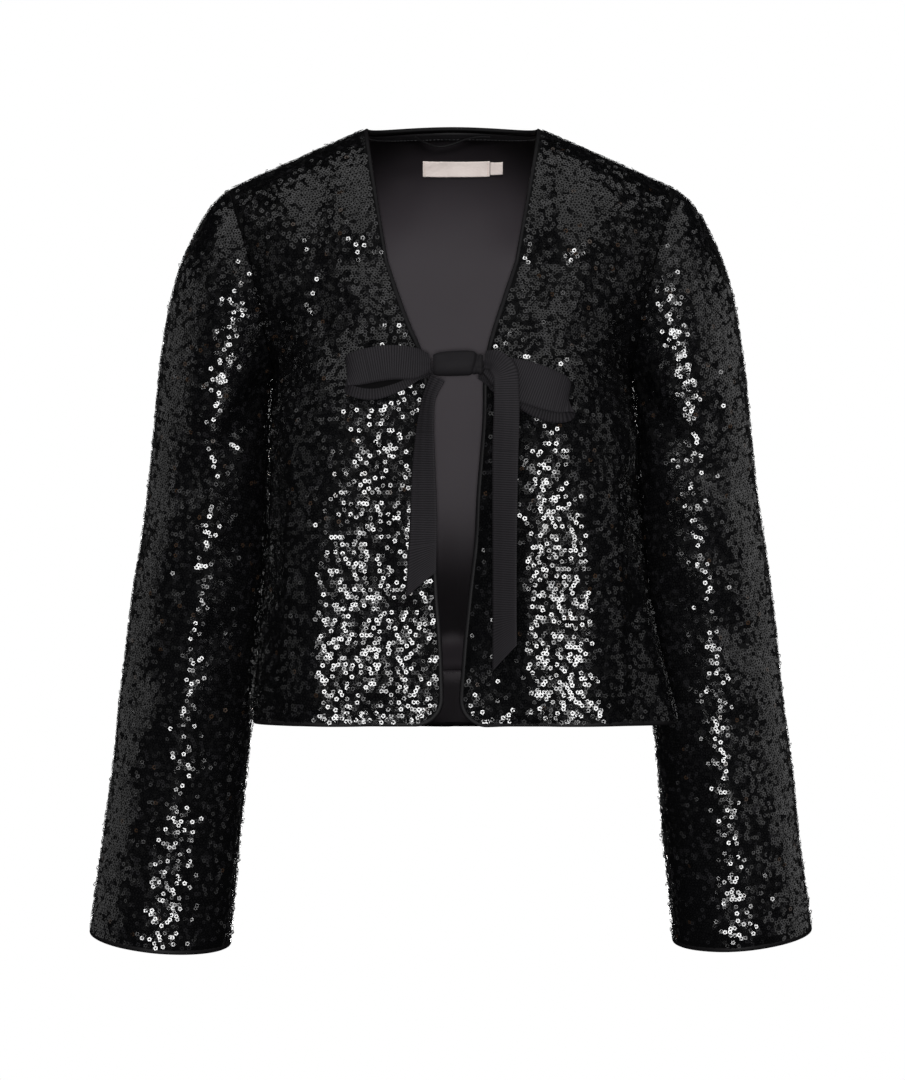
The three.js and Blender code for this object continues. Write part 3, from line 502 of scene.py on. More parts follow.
def fold_height(folds, side, across, z, scale=1.0):
    total = np.zeros(np.broadcast(across, z).shape)
    for fold_side, a1, z1, a2, z2, width, height in folds:
        a1, a2 = a1 * scale, a2 * scale
        da, dz = a2 - a1, z2 - z1
        along = np.clip(((across - a1) * da + (z - z1) * dz) / (da * da + dz * dz), 0, 1)
        off = np.hypot(across - a1 - along * da, z - z1 - along * dz)
        total += np.where(side == fold_side, height * np.exp(-((off / width) ** 2)), 0)
    return total


def grid_normals(grid, turned, wrapped=False):
    """The mean of the faces round each point, facing the way that turned says."""
    closed = closed_round(grid) if wrapped else grid
    rising = closed[1:, 1:] - closed[:-1, :-1]
    falling = closed[1:, :-1] - closed[:-1, 1:]
    faces = unit(np.cross(rising, falling)) * turned
    total = np.zeros(closed.shape)
    for rows, columns in ((slice(1, None), slice(1, None)), (slice(1, None), slice(None, -1)),
                          (slice(None, -1), slice(1, None)), (slice(None, -1), slice(None, -1))):
        total[rows, columns] += faces
    if wrapped:
        total[:, 0] += total[:, -1]
        total = total[:, :-1]
    return unit(total)


def value_noise(x, y, seed):
    """Smooth noise from -1 to 1, with a new value at each whole step."""
    lattice = np.random.default_rng(seed).uniform(-1, 1, (64, 64))
    i, j = np.floor(x).astype(int), np.floor(y).astype(int)
    s, t = smoothstep(x - i, 0, 1), smoothstep(y - j, 0, 1)
    low = mix(lattice[i % 64, j % 64], lattice[(i + 1) % 64, j % 64], s)
    high = mix(lattice[i % 64, (j + 1) % 64], lattice[(i + 1) % 64, (j + 1) % 64], s)
    return mix(low, high, t)


def cloth_noise(grid, seed):
    """The small unevenness of hanging cloth, in millimetres."""
    across = np.arctan2(grid[..., 0], -grid[..., 1]) * 3.4
    z = grid[..., 2]
    broad = value_noise(across * 1.3 + 20, z / 70 + 20, seed)
    fine = value_noise(across * 3.1 + 20, z / 26 + 30, seed + 1)
    return 0.8 * broad + 0.35 * fine


HEM_ROWS = 12  # steps in a panel's lowest part, as high as the fronts' rounded corners
PANEL_ROWS = np.concatenate([
    np.linspace(0, CORNER_ROW, HEM_ROWS + 1)[:-1],
    np.linspace(CORNER_ROW, ARMPIT_ROW, 97)[:-1],
    np.linspace(ARMPIT_ROW, ACROSS_ROW, 33)[:-1],
    np.linspace(ACROSS_ROW, LAST_ROW, 45),
])
FRONT_COLUMNS = 72
BACK_COLUMNS = 160


def panel_normals(grid, turned):
    """A panel's normals. Those of the rows crowded at the hem are as in the first row above them."""
    normals = grid_normals(grid, turned)
    normals[:HEM_ROWS] = normals[HEM_ROWS]
    return normals


def front_panel(side):
    sign = 1 if side == "left" else -1
    r, u = PANEL_ROWS[:, None], np.linspace(0, 1, FRONT_COLUMNS + 1)[None, :]
    grid = front_surface(r, u, side)
    inside = smoothstep(np.minimum(FRONT_STEPS * (1 - u) / 2, (LAST_ROW - r) / 2), 0, 1)
    folds = fold_height(FRONT_FOLDS, sign, grid[..., 0], grid[..., 2])
    height = inside * (folds + cloth_noise(grid, 10 + sign))
    grid = grid + panel_normals(grid, 1) * height[..., None]
    grid[..., 0] *= sign
    return grid, panel_normals(grid, sign)


def back_panel():
    r, v = PANEL_ROWS[:, None], np.linspace(-1, 1, BACK_COLUMNS + 1)[None, :]
    grid = back_surface(r, v)
    inside = smoothstep(np.minimum(BACK_STEPS * (1 - np.abs(v)) / 2, (LAST_ROW - r) / 2), 0, 1)
    side = np.where(grid[..., 0] < 0, -1, 1)
    folds = fold_height(BACK_FOLDS, side, np.abs(grid[..., 0]), grid[..., 2])
    height = inside * (folds + cloth_noise(grid, 20))
    grid = grid + panel_normals(grid, -1) * height[..., None]
    return grid, panel_normals(grid, -1)


RING_STEPS = 160
SLEEVE_ROWS = np.linspace(0, LAST_RING, 221)


def sleeve_panel(side):
    """The sleeve's surface, from armhole to cuff. Its columns run round from the armpit, up the front."""
    sign = 1 if side == "left" else -1
    q = np.arange(RING_STEPS) * RING_PLACES / RING_STEPS
    half = RING_PLACES // 2
    front = front_surface(ARMPIT_ROW + np.minimum(q, half), np.ones_like(q), side)
    back = back_surface(ARMPIT_ROW + RING_PLACES - np.maximum(q, half), np.full_like(q, 1.0) * sign)
    back[:, 0] = np.abs(back[:, 0])
    armhole = np.where((q <= half)[:, None], front, back)
    degrees = 360 // RING_PLACES * q[None, :] - 90
    angle = np.radians(degrees)

    def ring(row):
        get = lambda name: read(SLEEVE, SLEEVE_COLUMNS, name, row, key=None)
        reach = (1 + np.sin(angle)) / 2
        return points(
            mix(get("in_x"), get("out_x"), reach),
            get(side + "_y") - get("depth") * np.cos(angle),
            mix(get("in_z"), get("out_z"), reach) - get("dip") * np.cos(angle),
        )

    rows = SLEEVE_ROWS[:, None]
    fade = 1 - smoothstep(rows / ARMHOLE_FADE, 0, 1)
    grid = ring(rows) + (armhole[None] - ring(np.zeros((1, 1)))) * fade[..., None]
    scale = np.radians(SLEEVE_RADIUS)
    inside = smoothstep(rows / (3 * LAST_RING / SOLID_RINGS), 0, 1)
    height = fold_height(SLEEVE_FOLDS, sign, degrees * scale, grid[..., 2], scale)
    height += fold_height(SLEEVE_FOLDS, sign, (degrees - 360) * scale, grid[..., 2], scale)
    wave = value_noise(10 + 3 * np.sin(angle), grid[..., 2] / 60 + 30, 30 + sign)
    grid = grid + grid_normals(grid, -1, True) * (inside * (height + 0.8 * wave))[..., None]
    grid[..., 0] *= sign
    return grid, grid_normals(grid, -sign, True)


# Meshes

def faces_out(vertices, faces):
    """Reverses the faces if together they enclose a negative volume."""
    a, b, c = (vertices[faces[:, k]] for k in (0, 1, 2))
    volume = np.einsum("ij,ij->i", a, np.cross(b, c)).sum()
    if faces.shape[1] == 4:
        d = vertices[faces[:, 3]]
        volume += np.einsum("ij,ij->i", a, np.cross(c, d)).sum()
    return faces if volume > 0 else faces[:, ::-1]


def add_object(name, data):
    """An object of the scene's own collection."""
    thing = bpy.data.objects.new(name, data)
    bpy.context.scene.collection.objects.link(thing)
    return thing


def add_mesh(name, vertices, faces, materials, slot, node=None, smooth=True, face_materials=None):
    """A piece of the looks, in the place of the solid named by node where there is one."""
    mesh = bpy.data.meshes.new(name)
    sizes = faces.shape[1]
    mesh.vertices.add(len(vertices))
    mesh.vertices.foreach_set("co", (vertices * MM).astype(np.float32).ravel())
    mesh.loops.add(faces.size)
    mesh.loops.foreach_set("vertex_index", faces.astype(np.int32).ravel())
    mesh.polygons.add(len(faces))
    mesh.polygons.foreach_set("loop_start", np.arange(len(faces), dtype=np.int32) * sizes)
    for material in materials:
        mesh.materials.append(material)
    if face_materials is not None:
        mesh.polygons.foreach_set("material_index", face_materials.astype(np.int32))
    mesh.polygons.foreach_set("use_smooth", np.full(len(faces), smooth))
    mesh.update(calc_edges=True)
    mesh.validate()
    piece = add_object(name, mesh)
    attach(piece, "root")
    if node:
        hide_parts(node)
    return piece


def wall(grid, normals, depths, wrapped=False, steps=(1, 1)):
    """A closed wall of quads between two depths under a grid, on every so many of its rows and columns."""
    grid, normals = (part[:: steps[0], :: steps[1]] for part in (grid, normals))
    rows, columns = grid.shape[:2]
    vertices = np.concatenate([(grid - normals * depth).reshape(-1, 3) for depth in depths])
    index = np.arange(rows * columns).reshape(rows, columns)
    if wrapped:
        index = closed_round(index)
    inner = index + rows * columns

    def rim(outer, deep):
        return np.stack([outer[1:], outer[:-1], deep[:-1], deep[1:]], -1)

    faces = [grid_quads(index), grid_quads(inner)[:, ::-1]]
    faces += [rim(index[0], inner[0]), rim(index[-1], inner[-1])[:, ::-1]]
    if not wrapped:
        faces += [rim(index[:, 0], inner[:, 0])[:, ::-1], rim(index[:, -1], inner[:, -1])]
    return vertices, faces_out(vertices, np.concatenate(faces))


def tube(sections, ring=False):
    """A closed solid through outlines of equal count, its ends closed by quads across them."""
    count, sides = sections.shape[:2]
    vertices = sections.reshape(-1, 3)
    index = closed_round(np.arange(count * sides).reshape(count, sides))
    if ring:
        index = np.concatenate([index, index[:1]], 0)
    faces = [grid_quads(index)]
    if not ring:
        half = sides // 2
        for end, order in ((index[0], 1), (index[-1], -1)):
            cap = [(end[k], end[sides - k], end[sides - k - 1], end[k + 1]) for k in range(half)]
            cap = [quad for quad in cap if len(set(quad)) == 4]
            faces.append(np.array(cap)[:, ::order])
    return vertices, faces_out(vertices, np.concatenate(faces))


def draw_in(grid, first=0.0, last=0.0, low=0.0, high=0.0):
    """Draws a grid's edges in along the cloth."""
    grid = grid.copy()
    for part, edge, inner, distance in (
        (grid.swapaxes(0, 1), 0, 1, first), (grid.swapaxes(0, 1), -1, -2, last),
        (grid, 0, 1, low), (grid, -1, -2, high),
    ):
        part[edge] += unit(part[inner] - part[edge]) * distance
    return grid


# Materials

def shader_of(material):
    material.use_nodes = True
    return material.node_tree.nodes["Principled BSDF"]


def add_node(material, kind, **values):
    node = material.node_tree.nodes.new(kind)
    for name, value in values.items():
        if name in node.inputs:
            node.inputs[name].default_value = value
        else:
            setattr(node, name, value)
    return node


def link(material, source, target):
    material.node_tree.links.new(source, target)


def make_material(name, color, roughness, dark, light, scale, **sockets):
    """A material whose base colour wanders between a dark and a light one."""
    material = bpy.data.materials.new(name)
    shader = shader_of(material)
    shader.inputs["Base Color"].default_value = (*color, 1)
    shader.inputs["Roughness"].default_value = roughness
    for socket, value in sockets.items():
        shader.inputs[socket.replace("_", " ")].default_value = value
    place = add_node(material, "ShaderNodeTexCoord")
    noise = add_node(material, "ShaderNodeTexNoise", Scale=scale, Detail=3.0)
    ramp = add_node(material, "ShaderNodeMix", data_type="RGBA")
    ramp.inputs[6].default_value = (*dark, 1)
    ramp.inputs[7].default_value = (*light, 1)
    link(material, place.outputs["Object"], noise.inputs["Vector"])
    link(material, noise.outputs["Fac"], ramp.inputs[0])
    link(material, ramp.outputs[2], shader.inputs["Base Color"])
    return material


def add_weave(material, across, along, distance):
    """The raised threads of a plain weave, in the object's own coordinates, with a little unevenness."""
    place = add_node(material, "ShaderNodeTexCoord")
    waves = []
    for direction, scale in (("X", across), ("Z", along)):
        bands = {"wave_type": "BANDS", "bands_direction": direction}
        wave = add_node(material, "ShaderNodeTexWave", Scale=scale, Distortion=0.6, **bands)
        link(material, place.outputs["Object"], wave.inputs["Vector"])
        waves.append(wave)
    both = add_node(material, "ShaderNodeMath", operation="ADD")
    link(material, waves[0].outputs["Fac"], both.inputs[0])
    link(material, waves[1].outputs["Fac"], both.inputs[1])
    bump = add_node(material, "ShaderNodeBump", Strength=1.0, Distance=distance)
    link(material, both.outputs[0], bump.inputs["Height"])
    link(material, bump.outputs["Normal"], shader_of(material).inputs["Normal"])


SEQUINS = [
    make_material(
        "sequin_black", (0.003, 0.003, 0.0035), 0.14,
        (0.001, 0.001, 0.0012), (0.0025, 0.0025, 0.003), 60, Specular_IOR_Level=0.62,
    ),
    make_material(
        "sequin_smoke", (0.014, 0.014, 0.016), 0.2,
        (0.007, 0.007, 0.008), (0.015, 0.0145, 0.016), 60, Specular_IOR_Level=0.75,
    ),
    make_material(
        "sequin_bronze", (0.03, 0.018, 0.011), 0.22,
        (0.018, 0.011, 0.007), (0.045, 0.026, 0.015), 60, Specular_IOR_Level=0.6,
    ),
]
CLOTH = make_material(
    "ground_cloth", (0.002, 0.002, 0.0022), 0.8,
    (0.0012, 0.0012, 0.0014), (0.003, 0.003, 0.0033), 90, Specular_IOR_Level=0.1,
)
SATIN = make_material(
    "lining_satin", (0.038, 0.0325, 0.0372), 0.55,
    (0.0355, 0.0303, 0.0348), (0.0405, 0.0347, 0.0396), 14, Anisotropic=0.5, Specular_IOR_Level=0.17,
)
weft = add_node(SATIN, "ShaderNodeTangent", direction_type="RADIAL", axis="Z")
link(SATIN, weft.outputs["Tangent"], shader_of(SATIN).inputs["Tangent"])
add_weave(SATIN, 900, 700, 0.00002)
BINDING_SATIN = make_material(
    "binding_satin", (0.005, 0.0047, 0.0052), 0.55,
    (0.0038, 0.0035, 0.004), (0.0065, 0.0061, 0.0068), 120, Specular_IOR_Level=0.13,
)
GROSGRAIN = make_material(
    "grosgrain", (0.0185, 0.017, 0.0194), 0.75,
    (0.0168, 0.0154, 0.0175), (0.0204, 0.0187, 0.0214), 45, Specular_IOR_Level=0.14,
)
# Painted shade: a darker ribbon colour for the faces in the ribs' grooves
GROSGRAIN_GROOVE_PAINTED_SHADE = make_material(
    "grosgrain_groove", (0.0095, 0.0087, 0.01), 0.8,
    (0.0082, 0.0075, 0.0086), (0.0109, 0.01, 0.0114), 45, Specular_IOR_Level=0.11,
)
# Painted shade: the knot's ribbon is coloured darker than the rest of the ribbon
KNOT_PAINTED_SHADE = make_material(
    "grosgrain_knot", (0.009, 0.0083, 0.0095), 0.7,
    (0.007, 0.0064, 0.0073), (0.012, 0.011, 0.0125), 60, Specular_IOR_Level=0.1,
)
# Painted shade: a near-black ribbon colour for the inside of a loop's back half
LOOP_PAINTED_SHADE = make_material(
    "grosgrain_inside", (0.003, 0.0028, 0.0031), 0.8,
    (0.002, 0.0018, 0.002), (0.004, 0.0037, 0.0041), 60, Specular_IOR_Level=0.05,
)
LABEL_SATIN = make_material(
    "label_satin", (0.8, 0.7, 0.66), 0.45, (0.72, 0.62, 0.58), (0.84, 0.75, 0.71), 70, Sheen_Weight=0.2
)
LABEL_THREAD = make_material(
    "label_thread", (0.62, 0.38, 0.3), 0.6, (0.55, 0.33, 0.26), (0.7, 0.44, 0.35), 300
)
THREAD = make_material(
    "thread", (0.02, 0.02, 0.022), 0.5, (0.014, 0.014, 0.016), (0.03, 0.03, 0.033), 400, Sheen_Weight=0.2
)


# Sequins

def at_places(grid, rows, columns, wrapped):
    """The values of a grid at fractional places."""
    i = np.minimum(rows.astype(int), grid.shape[0] - 2)
    j = columns.astype(int)
    count = grid.shape[1]
    if wrapped:
        j0, j1 = j % count, (j + 1) % count
    else:
        j0 = np.minimum(j, count - 2)
        j1 = j0 + 1
        j = j0
    s, t = (rows - i)[:, None], (columns - j)[:, None]
    return mix(mix(grid[i, j0], grid[i, j1], t), mix(grid[i + 1, j0], grid[i + 1, j1], t), s)


def sequin_places(grid, wrapped, rng, low, high, sides):
    """Fractional places for rows of sequins over a grid, with their row numbers and distances along."""
    closed = closed_round(grid) if wrapped else grid
    heights = np.linalg.norm(np.diff(closed, axis=0), axis=2)
    longest = heights.max(axis=1)
    reach = np.concatenate([[0], np.cumsum(longest)])
    count = int((reach[-1] - low - high) / ROW_PITCH)
    levels = low + (np.arange(count) + 0.5) * (reach[-1] - low - high) / count
    found = []
    for number, row in enumerate(np.interp(levels, reach, np.arange(len(grid)))):
        i = min(int(row), len(grid) - 2)
        line = mix(closed[i], closed[i + 1], row - i)
        along = distances(line)
        steps = max(int((along[-1] - 2 * sides) / SEQUIN_PITCH), 1)
        shift = 0.5 * (number % 2) + rng.normal(0, COLUMN_SPREAD, steps)
        distance = sides + (np.arange(steps) + 0.25 + shift) * SEQUIN_PITCH
        distance = np.clip(distance, sides, along[-1] - sides)
        column = np.interp(distance, along, np.arange(len(line)))
        nearest = np.minimum(column.astype(int), heights.shape[1] - 1)
        keep = rng.random(steps) < heights[i, nearest] / longest[i]
        wander = row + rng.normal(0, ROW_SPREAD, steps) * ROW_PITCH / longest[i]
        wander = np.clip(wander, 0, len(grid) - 1.001)
        found.append(np.stack([wander, column, np.full(steps, number), distance], 1)[keep])
    return np.concatenate(found)


def add_sequins(name, grid, normals, seed, wrapped=False, low=1.4, high=1.6, sides=1.6, part=None):
    """Joined rings of sequins over a grid, each tilted a little, with its neighbours and on its own.

    low, high and sides keep them off the grid's edges. part keeps those of a range of columns.
    """
    rng = np.random.default_rng(seed)
    places = sequin_places(grid, wrapped, rng, low, high, sides)
    rows, columns, number, distance = places.T
    count = len(places)
    centre = at_places(grid, rows, columns, wrapped)
    normal = unit(at_places(normals, rows, columns, wrapped))
    last = grid.shape[1] - (0 if wrapped else 1)
    ahead = at_places(grid, rows, np.minimum(columns + 0.5, last - 0.001), wrapped)
    behind = at_places(grid, rows, np.maximum(columns - 0.5, 0), wrapped)
    along = unit(ahead - behind + 1e-9)
    across = np.cross(normal, along)
    clump_a = value_noise(distance / 9 + 7, number / 2.2 + 11, seed + 1)
    clump_a = clump_a + 0.7 * value_noise(distance / 4, number, seed + 2)
    clump_b = value_noise(distance / 12 + 3, number / 1.7 + 5, seed + 3)
    clump_b = clump_b + 0.7 * value_noise(distance / 5, number, seed + 4)
    tilt_a = TILT_CLUMP * clump_a + rng.normal(0, TILT_EACH, count)
    tilt_b = TILT_CLUMP * clump_b + rng.normal(0, TILT_EACH, count)
    proud = rng.random(count) < PROUD_SHARE
    tilt_a[proud] += rng.normal(0, PROUD_TILT, proud.sum())
    tilt_b[proud] += rng.normal(0, PROUD_TILT, proud.sum())
    facing = unit(normal + along * tilt_a[:, None] + across * tilt_b[:, None])
    lift = rng.uniform(*SEQUIN_LIFT, count) + proud * PROUD_LIFT
    centre = centre + normal * lift[:, None]
    first = unit(along - facing * np.einsum("ij,ij->i", along, facing)[:, None])
    second = np.cross(facing, first)
    spin = rng.uniform(0, 2 * np.pi, count)
    radius = SEQUIN_RADIUS * rng.normal(1, RADIUS_SPREAD, count)
    outline = [(radius, spin + 2 * np.pi / 5 * k) for k in range(5)]
    outline += [(np.full(count, SEQUIN_HOLE), spin + 2 * np.pi / 3 * k) for k in range(3)]
    corners = [
        centre + (reach * np.cos(angle))[:, None] * first + (reach * np.sin(angle))[:, None] * second
        for reach, angle in outline
    ]
    vertices = np.stack(corners, 1).reshape(-1, 3)
    kind = rng.choice(len(SEQUINS), count, p=KIND_SHARES)
    if part:
        kept = (columns >= part[0]) & (columns < part[1])
        vertices = vertices.reshape(count, len(outline), 3)[kept].reshape(-1, 3)
        kind, count = kind[kept], kept.sum()
    faces = (np.array(SEQUIN_FACES)[None] + len(outline) * np.arange(count)[:, None, None]).reshape(-1, 3)
    kinds = np.repeat(kind, len(SEQUIN_FACES))
    return add_mesh(name, vertices, faces, SEQUINS, "sequinned_cloth", smooth=False, face_materials=kinds)


# The garment

EDGE = 0.25  # the cloth's edges stop this far short of a seam
SLEEVE_DEPTH = (0, 1.2)
SLEEVE_LINING_DEPTH = (1.5, 2.1)
back_grid, back_normals = back_panel()
front_grids = {side: front_panel(side) for side in ("left", "right")}
sleeve_grids = {side: sleeve_panel(side) for side in ("left", "right")}

for side, (grid, normals) in front_grids.items():
    front_wall = wall(draw_in(grid, last=EDGE, high=EDGE), normals, (0, SHELL), steps=(2, 2))
    name = "front_" + side
    add_mesh("cloth_" + name, *front_wall, [CLOTH], "sequinned_cloth", name)
    add_sequins("sequins_" + name, grid, normals, 100 + len(side))
drawn = draw_in(back_grid, first=EDGE, last=EDGE, high=EDGE)
back_wall = wall(drawn, back_normals, (0, SHELL), steps=(4, 2))
add_mesh("cloth_back", *back_wall, [CLOTH], "sequinned_cloth", "back")
middle = BACK_COLUMNS // 2
add_sequins("sequins_back_right", back_grid, back_normals, 120, part=(0, middle))
add_sequins("sequins_back_left", back_grid, back_normals, 120, part=(middle, BACK_COLUMNS + 1))
ELBOW_ROW = 120
for number, (side, (grid, normals)) in enumerate(sleeve_grids.items()):
    drawn = draw_in(grid, low=EDGE)
    drawn[-1] = grid[-1] + unit(grid[-2] - grid[-1]) * (BINDING + SEAM_GAP)
    drawn[-2] = mix(drawn[-1], drawn[-3], 0.5)
    name, lining = "sleeve_" + side, "sleeve_lining_" + side
    sleeve_wall = wall(drawn, normals, SLEEVE_DEPTH, True, (4, 2))
    add_mesh("cloth_" + name, *sleeve_wall, [CLOTH], "sequinned_cloth", name)
    lining_wall = wall(drawn, normals, SLEEVE_LINING_DEPTH, True, (4, 4))
    add_mesh(lining, *lining_wall, [SATIN], "satin")
    for half, rows, seed, low, high in (
        ("upper_", slice(0, ELBOW_ROW + 1), 130, 1.4, 0), ("lower_", slice(ELBOW_ROW, None), 140, 0, 4.4),
    ):
        add_sequins("sequins_" + half + name, grid[rows], normals[rows], seed + number, True, low, high, 0)

# Linings
LINING_DEPTH = (SOLID_SHELL + SEAM_GAP, SOLID_SHELL + SEAM_GAP + LINING)
for side, (grid, normals) in front_grids.items():
    front_wall = wall(draw_in(grid, last=EDGE, high=EDGE), normals, LINING_DEPTH, steps=(4, 2))
    name = "lining_front_" + side
    add_mesh("satin_front_" + side, *front_wall, [SATIN], "satin", name)
seam_row = int(np.argmax(back_grid[:, middle, 2] > FACING_TOP))
lining_grid = draw_in(back_grid[seam_row:], first=EDGE, last=EDGE, low=EDGE, high=EDGE)
lining_x, lining_z = lining_grid[..., 0], lining_grid[..., 2]
ease = read(LINING_EASE, LINING_EASE_COLUMNS, "inward", lining_z) * (1 + 0.08 * np.sin(lining_x / 17.0))
puff = 0.5 * value_noise(lining_x / 34 + 20, lining_z / 60 + 20, 55) + 0.5
creases = fold_height(LINING_FOLDS, 1, lining_x, lining_z)
lining_grid = lining_grid - back_normals[seam_row:] * np.maximum(ease + puff + creases, 0.1)[..., None]
lining_wall = wall(lining_grid, back_normals[seam_row:], LINING_DEPTH, steps=(2, 2))
add_mesh("satin_back", *lining_wall, [SATIN], "satin", "lining_back")
facing_grid = draw_in(back_grid[: seam_row + 1], first=EDGE, last=EDGE, high=EDGE)
facing_wall = wall(facing_grid, back_normals[: seam_row + 1], LINING_DEPTH, steps=(1, 2))
add_mesh("satin_facing", *facing_wall, [SATIN], "satin", "facing_hem_back")


# Bindings
BINDING_SIDES = 12
BINDING_SECTION = ((np.cos, 0.6), (np.sin, 0.7))  # how square it is across and through
BINDING_PROUD = 0.6
BINDING_LAP = 0.7  # how far it lies over the cloth
CLOTH_DEPTH = SOLID_SHELL + SEAM_GAP + 1.0


def add_binding(name, node, line, inside, normals, depth=CLOTH_DEPTH, ring=False, swell=1.0):
    """Satin folded round an edge, rounded like a flattened roll. swell thins it where it runs out."""
    ahead = np.roll(line, -1, 0) - np.roll(line, 1, 0) if ring else np.gradient(line, axis=0)
    out = unit(np.cross(ahead, normals))
    out[np.einsum("ij,ij->i", out, line - inside) < 0] *= -1
    middle = depth / 2
    half_deep = (middle + BINDING_PROUD) * swell
    sections = []
    for angle in 2 * np.pi * (np.arange(BINDING_SIDES) + 0.5) / BINDING_SIDES:
        across, deep = (curved(part(angle), power) for part, power in BINDING_SECTION)
        reach = (BINDING + SEAM_GAP + BINDING_LAP) / 2 * (1 + across) * swell - BINDING_LAP
        sections.append(line + out * reach - normals * (middle + half_deep * deep))
    add_mesh(name, *tube(np.stack(sections, 1), ring), [BINDING_SATIN], "satin", node)


for side, (grid, normals) in front_grids.items():
    line = np.concatenate([grid[::-1, 0], grid[0, 1:]])
    inside = np.concatenate([grid[::-1, 1], grid[HEM_ROWS, 1:]])
    across = np.concatenate([normals[::-1, 0], normals[0, 1:]])
    run = distances(line)[:, None]
    swell = mix(0.3, 0.8, smoothstep(run, 0, 18)) + 0.2 * smoothstep(run, 150, 220)
    add_binding("edge_satin_" + side, "edge_binding_" + side, line, inside, across, swell=swell)
add_binding("hem_satin_back", "hem_binding_back", back_grid[0], back_grid[HEM_ROWS], back_normals[0])
neck_from = int(round(BACK_COLUMNS / 2 * (1 - BACK_NECK_SHARE)))
neck = slice(neck_from, BACK_COLUMNS - neck_from + 1)
neck_edge = (back_grid[-1, neck], back_grid[-6, neck], back_normals[-1, neck])
add_binding("neck_satin_back", "neck_binding_back", *neck_edge)
for side, (grid, normals) in sleeve_grids.items():
    line = grid[-1] + unit(grid[-2] - grid[-1]) * (BINDING + SEAM_GAP)
    cuff_edge = (line, grid[-12], normals[-1])
    add_binding("cuff_satin_" + side, "cuff_binding_" + side, *cuff_edge, ring=True, depth=SOLID_SHELL)


# The ribbon

def spline(nodes, steps):
    """Points of a smooth curve through the nodes, with their fractional node numbers."""
    knots = np.concatenate([[0], np.cumsum(np.sqrt(np.linalg.norm(np.diff(nodes, axis=0), axis=1)))])
    slopes = np.empty(nodes.shape)
    h = np.diff(knots)
    chord = np.diff(nodes, axis=0) / h[:, None]
    slopes[1:-1] = (chord[:-1] * h[1:, None] + chord[1:] * h[:-1, None]) / (h[1:] + h[:-1])[:, None]
    slopes[0] = 1.5 * chord[0] - 0.5 * slopes[1]
    slopes[-1] = 1.5 * chord[-1] - 0.5 * slopes[-2]
    at = np.linspace(0, knots[-1], steps)
    i = span_of(at, knots)
    t = ((at - knots[i]) / h[i])[:, None]
    curve = hermite(nodes[i], nodes[i + 1], slopes[i] * h[i, None], slopes[i + 1] * h[i, None], t)
    return curve, i + t[:, 0]


def ribbon(name, table, cut=0.0, on_edge=False, cup=0.0, inside=0):
    """A strip of ribbed ribbon. cup bows its section out, most where the ribbon is gathered.

    inside says which of its faces, 1 or -1, carries the painted shade of a loop's inside.
    """
    nodes = np.array(table)[:, :3]
    count = int(distances(spline(nodes, 400)[0])[-1] / RIB_PITCH * RIB_STEPS)
    fine, where = spline(nodes, count * 3)
    along = distances(fine)
    even = np.linspace(0, along[-1], count)
    middle = along_line(even, along, fine)
    where = np.interp(even, along, where)
    tangent = unit(np.gradient(middle, axis=0))
    if on_edge:
        across = unit(np.array([0.0, 0, 1]) - tangent * tangent[:, 2:])
    else:
        across = unit(np.cross(tangent, np.array([0.0, -1, 0])))
    turn = np.radians(read(table, RIBBON_COLUMNS, "turn", where, key=None))[:, None]
    across = across * np.cos(turn) + np.cross(tangent, across) * np.sin(turn)
    width = RIBBON_WIDTH * read(table, RIBBON_COLUMNS, "share", where, key=None)
    face = unit(np.cross(across, tangent))
    a = np.linspace(-0.5, 0.5, RIBBON_COLUMNS_ACROSS)
    left = along[-1] - even
    slant = cut * a[None, :] * smoothstep(1 - left / TAIL_CUT_RUN, 0, 1)[:, None]
    gather = np.clip(1.15 - width / RIBBON_WIDTH, 0, 1)[:, None]
    bow = cup * gather * (np.cos(np.pi * a)[None, :] - 0.5)
    pleat = 0.9 * gather ** 2 * np.sin(a * 2 * np.pi * 2.5)[None, :]
    ribs = RIB_HEIGHT * np.sin(2 * np.pi * even / RIB_PITCH)[:, None] * (np.abs(a) < SELVEDGE)[None, :]
    edge = SELVEDGE_THICK * (np.abs(a) >= SELVEDGE)[None, :]
    grid = (
        middle[:, None]
        + across[:, None] * (a[None, :, None] * width[:, None, None])
        + tangent[:, None] * slant[..., None]
        + face[:, None] * (bow + pleat)[..., None]
    )
    normals = grid_normals(grid, 1.0)
    if np.einsum("ij,ij->i", normals[:, RIBBON_COLUMNS_ACROSS // 2], face).mean() < 0:
        normals = -normals
    half = normals * (RIBBON_THICK / 2 + ribs + edge)[..., None]
    vertices, faces = wall(grid + half, normals, (0, 0))
    vertices = np.concatenate([(grid + half).reshape(-1, 3), (grid - half).reshape(-1, 3)])
    faces = faces_out(vertices, faces)
    face_row = (faces % (count * len(a)) // len(a)).min(axis=1)
    # Painted shade: faces in a rib's groove take the darker groove colour
    kind = in_groove(even[face_row])
    layer = np.where(faces.min(axis=1) < count * len(a), 1, -1)
    low_edge = a[(faces % len(a)).min(axis=1)]
    # Painted shade: a loop's inner faces on the later part of its length, above a line along it, take the
    # near-black ribbon colour
    kind[(layer == inside) & (face_row > PAINTED_SHADE_FROM * count) & (low_edge > PAINTED_SHADE_ABOVE)] = 2
    form = (vertices, faces, [GROSGRAIN, GROSGRAIN_GROOVE_PAINTED_SHADE, LOOP_PAINTED_SHADE], "ribbon", "tie_" + name)
    return add_mesh("ribbon_" + name, *form, face_materials=kind)


def in_groove(distance):
    return ((distance / RIB_PITCH + 0.5 / RIB_STEPS) % 1 > 0.5).astype(int)


